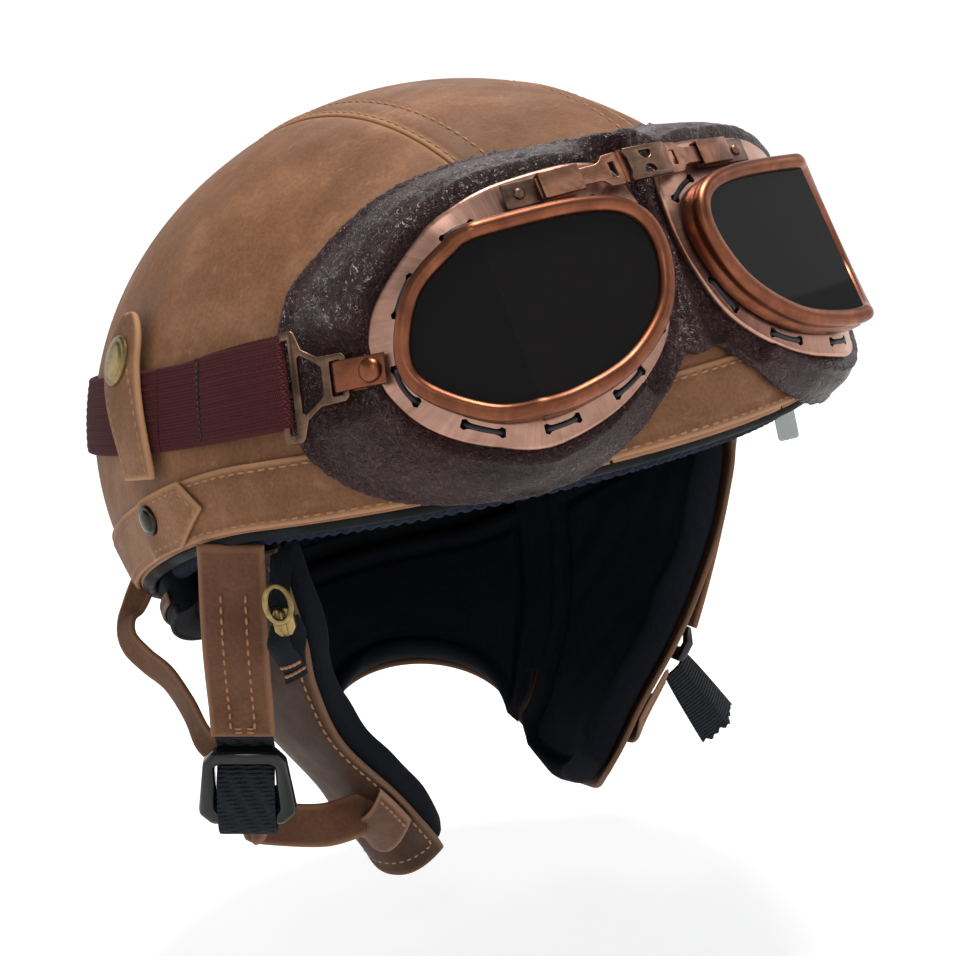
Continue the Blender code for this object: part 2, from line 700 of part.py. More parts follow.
def chin_strap_right(leather, webbing, plastic):
    half = CHIN_WIDTH / 2
    axes = (HANG, STRAP_ACROSS, STRAP_FACE)

    def sleeve(u, v, h):
        bulge = 3.0 * math.sin(math.pi * min(u * 1.2, 1))
        return strap_at(mix(7, 58, u), mix(-half, half, v), h + bulge)

    skin = lambda u, v: CHIN_THICK / 2
    slab("chin_sleeve_right", sleeve, 8, 1, lambda u, v: -CHIN_THICK / 2, skin, leather)
    middle = strap_at(58 + GAP + 1.8, 0, 0)
    block("chin_webbing_right", middle, axes, (3.6, CHIN_WIDTH - 1, 1.6), webbing)
    outline = [(-13, -9), (-9, -12.5), (9, -15), (13, -11), (13, 11), (9, 15), (-9, 12.5), (-13, 9)]
    hole = [(-9.6, -10.2), (9.6, -10.2), (9.6, 10.2), (-9.6, 10.2)]
    centre = strap_at(58 + GAP + 3.6 + GAP + 13.5, 0, 0)
    buckle("right", centre, axes, outline, hole, 2.4, plastic)


def chin_strap_left(leather, webbing, plastic):
    half = CHIN_WIDTH / 2
    sleeve = lambda u, v, h: loose_at(u, mix(-half, half, v), h)
    skin = lambda u, v: CHIN_THICK / 2
    slab("chin_sleeve_left", sleeve, 8, 1, lambda u, v: -CHIN_THICK / 2, skin, leather, flip=True)
    end = loose_at(1, 0, 0)
    axes = (unit(LOOSE_STRAP[2] - LOOSE_STRAP[1]), loose_at(1, 1, 0) - end, loose_at(1, 0, 1) - end)
    outline = [(-6.5, -8), (-6.5, 5), (-1, 9), (6.5, 6.5), (6.5, -8)]
    hole = [(-3.8, -5.5), (-3.8, 4), (-0.5, 6), (1.4, 5.2), (1.4, -5.5)]
    buckle("left", end + axes[0] * (GAP + 6.5), axes, outline, hole, 1.6, plastic)

    def folded(u, v, h):
        middle = mix(LOOSE_END[0], LOOSE_END[1], u)
        fold = (1 - abs(2 * v - 1)) * mix(2, 5, u)
        return middle + LOOSE_ACROSS * mix(6.5, 9, u) * (2 * v - 1) - (0, fold + h, 0)

    slab("chin_webbing_left", folded, 4, 6, lambda u, v: -0.8, lambda u, v: 0.8, webbing, flip=True)


def buckle(side, centre, axes, outline, hole, half_thick, plastic):
    def place(x, y, z):
        return centre + axes[0] * x + axes[1] * y + axes[2] * z

    flip = side == "left"
    frame = prism(f"chin_buckle_{side}", outline, -half_thick, half_thick, place, plastic, flip)
    cut(frame, prism(f"cut_buckle_{side}", hole, -6, 6, place, plastic, flip))


def rear_strap(leather, route, flip):
    """The thin strap from the shell's rear edge forward to the buckle."""
    path = curve([np.array(p, float) for p in route], 3, closed=False)
    rings = []
    for i, p in enumerate(path):
        along = unit(path[min(i + 1, len(path) - 1)] - path[max(i - 1, 0)])
        flat = unit(np.cross(along, (-0.9, -0.4, -0.1)))
        out = unit(np.cross(flat, along))
        corners = ((-5, -1), (5, -1), (5, 1), (-5, 1))
        rings.append([p + flat * x + out * y for x, y in corners])
    loft(f"rear_strap_{'left' if flip else 'right'}", rings, leather, flip=flip)


def keeper(leather, flip):
    """The loop sewn across the flap's tip, standing off the leather so that the chin strap passes."""
    side = "left" if flip else "right"
    surface = flap_place(0.0)

    def place(u, v, h):
        return surface(mix(0.03, 0.42, u), mix(0.72, 0.85, v), h + 5.0 * math.sin(math.pi * u) + GAP)

    slab(f"flap_keeper_{side}", place, 8, 1, lambda u, v: 0, lambda u, v: 1.8, leather, flip=flip)


# ------------------------------------------------------------------ assembly


def pivot(name, at, pieces):
    """An empty on a joint's axis, with the pieces that turn about it."""
    empty = bpy.data.objects.new(name, None)
    empty.location = [c * MM for c in at]
    bpy.context.scene.collection.objects.link(empty)
    bpy.context.view_layer.update()
    for piece in pieces:
        child = bpy.data.objects[piece]
        child.parent = empty
        child.matrix_parent_inverse = empty.matrix_world.inverted()


def pivots():
    goggles = ["goggle_mask", "bridge_link"]
    for side, sign in (("right", 1), ("left", -1)):
        paired = "strap_end lens_front lens_side lens_rim eyecup_flange flange_lace bridge_sleeve bridge_arm"
        paired += " strap_plate side_loop side_rivet"
        goggles += [f"{name}_{side}" for name in paired.split()]
        flap = "ear_flap flap_padding flap_keeper chin_sleeve chin_webbing chin_buckle rear_strap"
        mirrored = np.array((sign, 1, 1))
        pivot(f"flap_pivot_{side}", FLAP_PIVOT * mirrored, [f"{name}_{side}" for name in flap.split()])
        base = dome(-TAB_AT, tab_base(), 3 * GAP + STRAP_THICK + TAB_THICK)
        pivot(f"tab_pivot_{side}", base * mirrored, [f"strap_tab_{side}", f"tab_snap_cap_{side}"])
    pivot("goggle_pivot", GOGGLE_PIVOT, goggles)
    pivot("ring_pivot", RING_PIVOT, ["zip_pull_ring"])


def main():
    for old in list(bpy.data.objects):
        bpy.data.objects.remove(old)
    tan = material("tan_leather", (0.30, 0.17, 0.09), 0.6)
    dark_leather = material("mask_leather", (0.07, 0.035, 0.03), 0.4)
    copper = material("copper", (0.62, 0.28, 0.17), 0.3, 1.0)
    brass = material("brass", (0.45, 0.33, 0.12), 0.35, 1.0)
    steel = material("dark_steel", (0.08, 0.07, 0.06), 0.35, 1.0)
    maroon = material("maroon_elastic", (0.12, 0.02, 0.03), 0.85)
    black = material("black_knit", (0.012, 0.013, 0.02), 0.9)
    plastic = material("black_plastic", (0.01, 0.01, 0.012), 0.15)
    hard = material("shell_plastic", (0.03, 0.03, 0.03), 0.4)
    foam = material("grey_foam", (0.15, 0.15, 0.15), 0.9)
    smoke = material("smoke_lens", (0.01, 0.01, 0.01), 0.08)

    cover_panels(tan)
    crash_shell(hard, foam, black)
    rim_edges(tan, black)
    rim_bands(tan)
    snaps(brass, steel)
    goggle_strap(maroon)
    mask(dark_leather)
    bridge(copper)
    neck_curtain(tan, black)
    zipper(black, brass)
    chin_strap_right(tan, black, plastic)
    chin_strap_left(tan, black, plastic)
    for flip in (False, True):
        side = "left" if flip else "right"
        tab(tan, flip)
        pane(f"lens_front_{side}", True, smoke, flip)
        pane(f"lens_side_{side}", False, smoke, flip)
        lens_rim(copper, flip)
        flange(copper, flip)
        lace(black, flip)
        place = strap_plate(copper, flip)
        side_loop(copper, place, flip)
        ear_flap(tan, black, flip)
        rear_strap(tan, REAR_LEFT if flip else REAR_RIGHT, flip)
        keeper(tan, flip)
    pivots()


main()
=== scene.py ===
"""Looks of the open face motorcycle helmet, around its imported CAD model.

The helmet faces -Y, +Z is up and +X is the wearer's left. Shapes are worked out in millimetres in the
same frame as the CAD and become metres when a mesh is made. Pairs are modelled on the wearer's right,
at -X, and mirrored.
"""

import math

import bmesh
import bpy
import numpy as np
from mathutils import Matrix, Vector


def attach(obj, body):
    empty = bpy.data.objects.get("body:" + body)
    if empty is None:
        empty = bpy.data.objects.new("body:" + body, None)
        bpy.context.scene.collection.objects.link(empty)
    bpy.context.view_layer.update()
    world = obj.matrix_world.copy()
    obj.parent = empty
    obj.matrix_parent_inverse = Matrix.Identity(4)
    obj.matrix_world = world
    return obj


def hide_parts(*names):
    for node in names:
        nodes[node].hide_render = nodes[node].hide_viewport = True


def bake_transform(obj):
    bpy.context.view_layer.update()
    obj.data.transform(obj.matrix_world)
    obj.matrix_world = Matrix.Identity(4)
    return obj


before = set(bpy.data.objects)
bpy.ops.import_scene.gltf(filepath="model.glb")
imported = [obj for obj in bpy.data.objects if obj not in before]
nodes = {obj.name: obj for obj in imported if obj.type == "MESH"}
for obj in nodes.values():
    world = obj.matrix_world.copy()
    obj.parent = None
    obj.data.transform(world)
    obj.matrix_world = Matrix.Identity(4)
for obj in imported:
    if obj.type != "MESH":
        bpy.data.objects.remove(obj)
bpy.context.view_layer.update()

MM = 0.001
RNG = np.random.default_rng(11)
SIDES = (("right", False), ("left", True))

# ------------------------------------------------------------------ the helmet's main shapes

WIDE, FRONT, BACK, HIGH, DOME_Z = 112.1, 127.0, 139.3, 108.6, 11.3
SEAM_FRONT, SEAM_TOP = 31.5, 35.0
BAND_LOW, BAND_HIGH = 1.8, 20.0
STUD_AT, STUD_ABOVE_RIM = 86.5, 13.2
CAP_Z = 52.5
ELASTIC_LOW, ELASTIC_HIGH = 26.5, 49.5
SKIRT_BELOW_RIM = 6.9
FLOOR_Z = -165
MASK_VOXEL = 1.15
TAB_AT, TAB_HEAD_AT, TAB_LOW, TAB_TOP = 86.3, 91.4, 19.3, 65.5
CREASE_TOP = np.array((-58.6, -120.9, 65.9))
CREASE_DOWN = np.array((-0.0140, -0.2974, -0.9546))
TO_NOSE = np.array((0.9899, -0.1388, 0.0288))
TO_TEMPLE = np.array((-0.7240, 0.6615, -0.1955))
FACE_FRONT = np.array((-0.1410, -0.9446, 0.2964))
FACE_SIDE = np.array((-0.6897, -0.6884, 0.2246))
HALF_FOLD = math.radians(17.75)
LENS = ((0, 0), (29.5, 0.2), (44.2, 4.2), (48, 14), (42.7, 28.2), (29, 39), (13, 43.4), (0, 43.8))
LENS += ((-12, 40.2), (-24.6, 29.2), (-26.4, 20), (-18.9, 7.4), (-6.4, 1.1))
FLANGE = ((0, -13.4), (20, -16), (41, -16), (51, -10.5), (54.5, 5), (53.5, 20), (45.5, 37.5), (25, 51.0))
FLANGE += ((0, 54.9), (-19, 48.6), (-33, 36.5), (-38.6, 21), (-34.5, 5), (-16, -8.7))
EYE_MIDDLE = (12.0, 21.0)
# Where the mask's padding ends on the helmet, as x and z. It passes the middle line at the nose, where
# the two halves join.
MASK_FOOT = ((-10, 84), (-29, 85), (-46, 83), (-60, 78), (-72, 70), (-82, 61), (-89, 48), (-92, 34))
MASK_FOOT += ((-92, 20), (-86, 9), (-76, 2), (-60, -1.5), (-48, -1.7), (-38, 0.5), (-28, 5.5))
MASK_FOOT += ((-20, 10.5), (-21, 10.5), (-13, 17), (-6, 23.5), (0.8, 27), (0.8, 78), (-3, 82.5))
MASK_MIDDLE = np.array((-46.0, 42.0))
SKIRT = np.array(
    (
        (-6, 96, 118, 0, 73, 122),
        (-23, 94, 117, 0, 73, 122),
        (-38, 91, 110, 3, 72.5, 122),
        (-54, 88, 100, 8, 71.8, 122),
        (-77, 78.3, 83, 14, 70.6, 122),
        (-102, 62, 62, 25, 61.3, 122),
        (-115, 54, 58, 32, 57, 122),
        (-130, 48, 40, 35, 47.5, 122),
        (-142, 44, 34, 37, 46, 121),
    )
)
HANG = np.array((0, 0.3637, -0.9315))
STRAP_ACROSS = np.array((0.8016, -0.5569, -0.2174))
STRAP_FACE = np.array((-0.598, -0.747, -0.2915))
STRAP_TOP = np.array((-105.0, -33.5, -8.0))
LOOSE_STRAP = np.array(((-102, -16, -13), (-101, -4, -46), (-80.5, 4, -85)))
LOOSE_END = np.array(((-74.5, 5, -99), (-88.3, 5, -126.5)))
LOOSE_ACROSS = np.array((-0.84, -0.1, 0.53))
REAR_RIGHT = (
    (-96, 57, -19), (-101.5, 57, -26), (-106.5, 54.5, -30.5), (-108.5, 50, -36), (-107, 43, -42),
    (-106, 31, -47.5)
)
REAR_RIGHT += ((-108, 16, -55.5), (-110, 6, -63), (-107, 2, -70))
REAR_LEFT = ((-97, 52, -27), (-101, 50, -34), (-102, 42, -45), (-98, 30, -60), (-90, 20, -75))
RING_AT = np.array((-103.0, -52.6, -25.0))
RING_HALF = (3.5, 5.2)


def unit(v):
    v = np.asarray(v, float)
    return v / np.linalg.norm(v, axis=-1, keepdims=True)


def mix(a, b, t):
    return a + (b - a) * t


def smooth(t):
    t = np.clip(t, 0.0, 1.0)
    return t * t * (3 - 2 * t)


def ridge(d, width):
    """1 on a line and 0 well away from it, at a distance d."""
    return np.exp(-((d / width) ** 2))


def along_last(*parts):
    return np.stack(np.broadcast_arrays(*parts), -1)


def turns(count):
    """Evenly spaced angles round one full turn."""
    return 2 * math.pi * np.arange(count) / count


def along_line(u, line):
    """The line's points at shares u of the way through its list of points."""
    at = np.linspace(0, 1, len(line))
    return np.stack([np.interp(u, at, line[:, k]) for k in range(line.shape[1])], -1)


def rim_z(theta):
    return -34.0 * smooth((np.abs((theta + 180) % 360 - 180) - 66) / 80)


def lifted(p, h):
    length = np.where(p[..., 1] < 0, FRONT, BACK)
    size = along_last(WIDE, length, HIGH)
    return p + unit((p - (0, 0, DOME_Z)) / size**2) * np.asarray(h)[..., None]


def dome(theta, z, h=0.0):
    """The leather dome's point at an angle from the front and a height, h outside it."""
    a = np.radians(theta)
    k = np.sqrt(np.clip(1 - ((z - DOME_Z) / HIGH) ** 2, 0, 1))
    y = -np.cos(a)
    p = along_last(WIDE * k * np.sin(a), np.where(y < 0, FRONT, BACK) * k * y, z)
    return lifted(p, np.broadcast_to(h, p.shape[:-1]))


def dome_front(x, z, h=0.0):
    k = np.clip(1 - (x / WIDE) ** 2 - ((z - DOME_Z) / HIGH) ** 2, 0, 1)
    p = along_last(x, -FRONT * np.sqrt(k), z)
    return lifted(p, np.broadcast_to(h, p.shape[:-1]))


def on_bend(s, v, h, reach=16.0):
    """A point by its place on an eyecup's creased lens planes, h in front, with the crease rounded."""
    s, v, h = (np.asarray(a, float) for a in np.broadcast_arrays(s, v, h))
    t = np.clip(s / reach, -1, 1)
    facing = unit(mix(FACE_SIDE, FACE_FRONT, ((1 + t) / 2)[..., None]))
    inset = 0.5 * reach * (1 - np.abs(t)) ** 2 * math.tan(HALF_FOLD)
    forward = np.maximum(s, 0)[..., None] * TO_NOSE - np.minimum(s, 0)[..., None] * TO_TEMPLE
    return CREASE_TOP + v[..., None] * CREASE_DOWN + forward + facing * (h - inset)[..., None]


def on_lens(s, v, h):
    """As on_bend, with the crease sharp."""
    return on_bend(s, v, h, 0.05)


def curve(corners, steps=3, closed=True):
    """A smooth line through corner points (Catmull-Rom), with steps points for each stretch."""
    c = np.asarray(corners, float)
    n = len(c)
    found = []
    for i in range(n if closed else n - 1):
        p1, p2 = c[i], c[(i + 1) % n]
        p0 = c[i - 1] if closed or i else 2 * p1 - p2
        p3 = c[(i + 2) % n] if closed or i < n - 2 else 2 * p2 - p1
        for t in np.arange(steps) / steps:
            q, r, w = 2 * p0 - 5 * p1 + 4 * p2 - p3, 3 * (p1 - p2) + p3 - p0, p2 - p0
            found.append(p1 + 0.5 * (w * t + q * t * t + r * t**3))
    return np.array(found if closed else found + [c[-1]])


def even(line, count, closed=False):
    """The line's points spaced evenly."""
    line = np.asarray(line, float)
    if closed:
        line = np.vstack((line, line[:1]))
    reach = np.concatenate(([0], np.cumsum(np.linalg.norm(np.diff(line, axis=0), axis=1))))
    at = np.linspace(0, reach[-1], count + 1)[:-1] if closed else np.linspace(0, reach[-1], count)
    return np.stack([np.interp(at, reach, line[:, k]) for k in range(line.shape[1])], -1)


def widened(outline, by):
    """A closed outline grown outwards by a width."""
    outline = np.asarray(outline, float)
    step = unit(np.roll(outline, -1, 0) - np.roll(outline, 1, 0))
    out = np.stack((step[:, 1], -step[:, 0]), -1)
    sign = np.sign(((outline - outline.mean(0)) * out).sum(1)).mean()
    return outline + out * by * np.sign(sign)


def rayed(outline, middle, count):
    """The outline's crossings with rays from a middle point, so that two outlines pair up."""
    d = np.asarray(outline, float) - middle
    angle = np.arctan2(d[:, 1], d[:, 0])
    order = np.argsort(angle)
    turn = turns(count)
    wrapped = np.arctan2(np.sin(turn), np.cos(turn))
    r = np.interp(wrapped, angle[order], np.linalg.norm(d, axis=1)[order], period=2 * math.pi)
    return middle + r[:, None] * np.stack((np.cos(turn), np.sin(turn)), -1)


# ------------------------------------------------------------------ mesh makers


def make(name, points, faces, look, body, uv=None, edge=None, flip=False, sharp=None):
    """A mesh piece on a body. uv is in metres for each point, and edge is 1 on a raw or worn edge."""
    scale = np.array((-MM, MM, MM)) if flip else np.array((MM, MM, MM))
    mesh = bpy.data.meshes.new(name)
    mesh.from_pydata((np.asarray(points) * scale).tolist(), [], [tuple(f) for f in faces])
    if uv is not None:
        layer = mesh.uv_layers.new(name="UVMap")
        index = np.empty(len(mesh.loops), np.int32)
        mesh.loops.foreach_get("vertex_index", index)
        layer.data.foreach_set("uv", (np.asarray(uv) * MM)[index].astype(np.float32).ravel())
    mark = mesh.attributes.new("edge", "FLOAT", "POINT")
    if edge is not None:
        mark.data.foreach_set("value", np.asarray(edge, np.float32).ravel())
    form = bmesh.new()
    form.from_mesh(mesh)
    bmesh.ops.recalc_face_normals(form, faces=form.faces)
    form.to_mesh(mesh)
    form.free()
    mesh.materials.append(look)
    mesh.shade_smooth()
    if sharp:
        mesh.set_sharp_from_angle(angle=math.radians(sharp))
    made = bpy.data.objects.new(name, mesh)
    bpy.context.scene.collection.objects.link(made)
    if body:
        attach(made, body)
    return made


def grid_faces(rows, columns, wrap_rows, wrap_columns=True):
    i = np.arange(rows if wrap_rows else rows - 1)
    j = np.arange(columns if wrap_columns else columns - 1)
    i, j = (a.ravel() for a in np.meshgrid(i, j, indexing="ij"))
    i2, j2 = (i + 1) % rows, (j + 1) % columns
    return np.stack((i * columns + j, i * columns + j2, i2 * columns + j2, i2 * columns + j), -1)


def side_faces(n):
    """Faces between two outlines of n points, one listed after the other."""
    return [(i, (i + 1) % n, n + (i + 1) % n, n + i) for i in range(n)]


def round_ends(rows, sides):
    """The two end faces of a tube."""
    return [tuple(range(sides)), tuple((rows - 1) * sides + j for j in range(sides))]


def flat_ends(starts, k):
    """Faces across rings of 2k points, each joining a point to the one opposite it."""
    return [(a + j, a + j + 1, a + 2 * k - 2 - j, a + 2 * k - 1 - j) for a in starts for j in range(k - 1)]


def travel(grid, axis):
    """Distance along one axis of a grid of points."""
    step = np.linalg.norm(np.diff(grid, axis=axis), axis=-1)
    start = np.zeros_like(np.take(grid[..., 0], [0], axis=axis))
    return np.concatenate((start, np.cumsum(step, axis=axis)), axis=axis)


def spaced(count, length, edge=1.2):
    """Places from 0 to 1 over a length, with extra ones near both ends to round them."""
    near = np.array((0, 0.12, 0.35, 0.7, 1.0)) * edge / length
    inner = np.linspace(near[-1], 1 - near[-1], count)
    return np.concatenate((near[:-1], inner, 1 - near[-2::-1]))


def band(name, surface, us, vs, low, high, look, body, closed=False, flip=False, edge_round=1.2, face=None):
    """A strip of thick sheet: surface(u, v, h) between h = low and high, with rounded edges.
    face(u, v, across, along) adds a height to its outer side."""
    u, v = np.meshgrid(us, vs, indexing="ij")
    middle = (low + high) / 2
    flat = surface(u, v, np.full(u.shape, middle))
    cu, cv = travel(flat, 0), travel(flat, 1)
    d = np.minimum(cv, cv[:, -1:] - cv)
    if not closed:
        d = np.minimum(d, np.minimum(cu, cu[-1:] - cu))
    full = np.sqrt(np.clip(1 - (1 - np.minimum(d / edge_round, 1)) ** 2, 0.02, 1))
    extra = face(u, v, cv, cu) if face else 0.0
    outer = surface(u, v, middle + (high - middle) * full + extra * (full > 0.9))
    inner = surface(u, v, middle - (middle - low) * full)
    n, k = u.shape
    rings = np.concatenate((outer, inner[:, ::-1]), 1)
    faces = grid_faces(n, 2 * k, closed).tolist()
    if not closed:
        faces += flat_ends((0, (n - 1) * 2 * k), k)
    uv = along_last(cu, cv)
    uv = np.concatenate((uv, uv[:, ::-1]), 1).reshape(-1, 2)
    raw = np.clip(1.5 - d / edge_round, 0, 1)
    raw = np.concatenate((raw, raw[:, ::-1]), 1)
    return make(name, rings.reshape(-1, 3), faces, look, body, uv, raw, flip)


def frames(path, upright, closed):
    """Directions across a path, from a direction that never lies along it."""
    if closed:
        step = np.roll(path, -1, 0) - np.roll(path, 1, 0)
    else:
        step = np.gradient(path, axis=0)
    step = unit(step)
    across = unit(np.cross(step, np.broadcast_to(upright, path.shape)))
    return step, across, np.cross(step, across)


def cord_form(name, path, radius, look, body, upright=(0, 0, 1), closed=False, sides=12, flip=False):
    """A round cord; radius is a number or an array over (place, turn)."""
    path = np.asarray(path, float)
    _, a, b = frames(path, upright, closed)
    turn = turns(sides)
    radius = np.broadcast_to(radius, (len(path), sides))
    rings = path[:, None] + radius[..., None] * (
        a[:, None] * np.cos(turn)[None, :, None] + b[:, None] * np.sin(turn)[None, :, None]
    )
    faces = grid_faces(len(path), sides, closed).tolist()
    if not closed:
        faces += round_ends(len(path), sides)
    uv = along_last(travel(path, 0)[:, None], turn[None, :] * np.mean(radius)).reshape(-1, 2)
    return make(name, rings.reshape(-1, 3), faces, look, body, uv, None, flip, 50)


def turned(name, centre, axis, profile, look, body, sides=40, flip=False, sharp=40):
    """A round solid from (radius, height) pairs along an axis."""
    axis = unit(axis)
    a = unit(np.cross(axis, (0, 0.3, 1) if abs(axis[2]) < 0.9 else (1, 0, 0)))
    b = np.cross(axis, a)
    turn = turns(sides)
    profile = np.asarray(profile, float)
    ring = a * np.cos(turn)[:, None] + b * np.sin(turn)[:, None]
    rings = centre + profile[:, 1, None, None] * axis + profile[:, 0, None, None] * ring
    faces = grid_faces(len(profile), sides, False).tolist()
    faces += round_ends(len(profile), sides)
    uv = along_last(turn[None, :] * 5, profile[:, 0][:, None]).reshape(-1, 2)
    return make(name, rings.reshape(-1, 3), faces, look, body, uv, None, flip, sharp)


def plate(name, outline, low, high, place, look, body, holes=(), round_edge=0.35, flip=False):
    """An outline extruded from low to high with holes cut through, its edges rounded.
    place(points, z) puts x and y pairs on the helmet."""

    def solid(title, line, a, b):
        line = np.asarray(line, float)
        points = np.concatenate((place(line, a), place(line, b)))
        n = len(line)
        faces = [tuple(range(n)), tuple(range(n, 2 * n))] + side_faces(n)
        uv = np.concatenate((line, line))
        return make(title, points, faces, look, None, uv, None, flip, 40)

    made = solid(name, outline, low, high)
    for i, hole in enumerate(holes):
        cutter = solid(f"{name}_cut{i}", hole, low - 3, high + 3)
        apply(made, "BOOLEAN", operation="DIFFERENCE", object=cutter, solver="EXACT")
        bpy.data.objects.remove(cutter)
    if round_edge:
        apply(made, "BEVEL", width=round_edge * MM, segments=2, limit_method="ANGLE", angle_limit=0.7)
    made.data.shade_smooth()
    made.data.set_sharp_from_angle(angle=math.radians(50))
    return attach(made, body)


def apply(piece, kind, **settings):
    """Adds a modifier and bakes it into the mesh."""
    modifier = piece.modifiers.new(kind.lower(), kind)
    for key, value in settings.items():
        setattr(modifier, key, value)
    graph = bpy.context.evaluated_depsgraph_get()
    graph.update()
    mesh = bpy.data.meshes.new_from_object(piece.evaluated_get(graph))
    piece.modifiers.clear()
    old = piece.data
    piece.data = mesh
    bpy.data.meshes.remove(old)
    return piece


def stitches(name, path, normals, look, body, pitch=3.6, length=2.7, radius=0.42, flip=False):
    """A row of sewn stitches that dip into the surface at both ends."""
    path, normals = np.asarray(path, float), np.asarray(normals, float)
    total = travel(path, 0)[-1]
    count = max(2, int(total / pitch))
    both = even(np.hstack((path, normals)), count * 2 + 1)
    middle, step = both[1::2, :3], unit(both[2::2, :3] - both[:-2:2, :3])
    out = unit(both[1::2, 3:])
    side = unit(np.cross(step, out))
    yaw = RNG.normal(0, 0.05, (len(middle), 1))
    step = unit(step + side * yaw)
    side = unit(np.cross(step, out))
    t = np.array((-1.0, -0.8, -0.4, 0.0, 0.4, 0.8, 1.0))
    fat = np.array((0.35, 0.75, 0.95, 1.0, 0.95, 0.75, 0.35)) * radius
    rise = 0.32 * radius * 2 * (1 - t**4) - 0.5 * radius
    turn = turns(6)
    spine = middle[:, None] + step[:, None] * (t * length / 2)[None, :, None]
    spine = spine + out[:, None] * rise[None, :, None]
    ring = side[:, None] * np.cos(turn)[None, :, None] + out[:, None] * np.sin(turn)[None, :, None]
    points = spine[:, :, None] + ring[:, None] * fat[None, :, None, None]
    one = grid_faces(len(t), 6, False).tolist() + round_ends(len(t), 6)
    faces = [tuple(np.array(f) + i * len(t) * 6) for i in range(len(middle)) for f in one]
    return make(name, points.reshape(-1, 3), faces, look, body, None, None, flip)


def sewn(name, surface, us, vs, h, look, body, **more):
    """Stitches along a line of a surface."""
    us, vs = np.broadcast_arrays(np.asarray(us, float), np.asarray(vs, float))
    path = surface(us, vs, np.full(us.shape, float(h)))
    out = surface(us, vs, np.full(us.shape, h + 1.0)) - path
    return stitches(name, path, out, look, body, **more)


# ------------------------------------------------------------------ materials


class Look:
    """A procedural material, built node by node."""

    def __init__(self, name, colour, roughness, metallic=0.0, **shader):
        self.made = bpy.data.materials.new(name)
        self.made.use_nodes = True
        self.tree = self.made.node_tree
        self.shader = self.tree.nodes["Principled BSDF"]
        self.put("Base Color", (*colour, 1))
        self.put("Roughness", roughness)
        self.put("Metallic", metallic)
        for key, value in shader.items():
            self.put(key.replace("_", " "), value)

    def put(self, socket, value):
        self.link(self.shader.inputs[socket], value)

    def link(self, socket, value):
        if isinstance(value, bpy.types.NodeSocket):
            self.tree.links.new(value, socket)
        else:
            socket.default_value = value

    def node(self, kind, inputs=(), out=0, **settings):
        made = self.tree.nodes.new("ShaderNode" + kind)
        for key, value in settings.items():
            setattr(made, key, value)
        for key, value in dict(inputs).items():
            self.link(made.inputs[key], value)
        return made.outputs[out]

    def place(self):
        return self.node("TexCoord", out="Object")

    def uv(self, x=1000.0, y=1000.0):
        """The mesh's own coordinates, in millimetres times a scale each way."""
        return self.node("Mapping", {0: self.node("UVMap", uv_map="UVMap"), 3: (x, y, 1)})

    def stretched(self, x, y, z):
        return self.node("Mapping", {0: self.place(), 3: (x, y, z)})

    def noise(self, vector, scale, detail=3.0, rough=0.55, distortion=0.0):
        ins = {
            "Vector": vector, "Scale": scale, "Detail": detail, "Roughness": rough,
            "Distortion": distortion
        }
        return self.node("TexNoise", ins)

    def cells(self, vector, scale, feature="F1"):
        return self.node("TexVoronoi", {"Vector": vector, "Scale": scale}, "Distance", feature=feature)

    def math(self, operation, a, b=0.0):
        return self.node("Math", {0: a, 1: b}, operation=operation)

    def ramp(self, value, *stops):
        """A value mapped through (position, grey or colour) stops."""
        made = self.tree.nodes.new("ShaderNodeValToRGB")
        self.link(made.inputs[0], value)
        points = made.color_ramp.elements
        while len(points) < len(stops):
            points.new(0.5)
        for point, (at, colour) in zip(points, stops):
            point.position = at
            point.color = (*colour, 1) if isinstance(colour, tuple) else (colour, colour, colour, 1)
        return made.outputs[0]

    def blend(self, factor, a, b, mode="MIX"):
        made = self.tree.nodes.new("ShaderNodeMix")
        made.data_type, made.blend_type = "RGBA", mode
        self.link(made.inputs["Factor"], factor)
        for i, value in ((6, a), (7, b)):
            self.link(made.inputs[i], (*value, 1) if isinstance(value, tuple) else value)
        return made.outputs[2]

    def edge(self):
        return self.node("Attribute", out="Fac", attribute_name="edge")

    def relief(self, *layers):
        """Bump from (height, strength, distance in millimetres) layers."""
        normal = None
        for height, strength, distance in layers:
            ins = {"Height": height, "Strength": strength, "Distance": distance * MM}
            if normal:
                ins["Normal"] = normal
            normal = self.node("Bump", ins)
        self.put("Normal", normal)
        return self.made


def nubuck(name, dark, mid, light, pale_edge=(0.50, 0.30, 0.17)):
    """Soft tan leather with clouded colour, a fine grain and paler raw edges."""
    m = Look(name, mid, 0.62, Specular_IOR_Level=0.12)
    at = m.place()
    clouds = m.noise(at, 22, 5, 0.62, 0.4)
    colour = m.ramp(clouds, (0.26, dark), (0.52, mid), (0.8, light))
    scuffs = m.ramp(m.noise(m.stretched(1, 1.6, 2.2), 75, 6, 0.7, 1.2), (0.56, 0.0), (0.74, 0.55))
    colour = m.blend(scuffs, colour, light)
    specks = m.ramp(m.noise(at, 900, 2, 0.5), (0.35, 0.82), (0.6, 1.0))
    colour = m.blend(1.0, colour, specks, "MULTIPLY")
    m.put("Base Color", m.blend(m.math("MULTIPLY", m.edge(), 0.75), colour, pale_edge))
    m.put("Roughness", m.ramp(m.noise(at, 60, 4), (0.3, 0.52), (0.75, 0.74)))
    grain = m.cells(m.blend(0.12, at, m.noise(at, 260, 2)), 820)
    return m.relief((m.noise(at, 35, 3), 0.25, 0.7), (grain, 0.22, 0.22), (m.noise(at, 2300, 3), 0.2, 0.1))


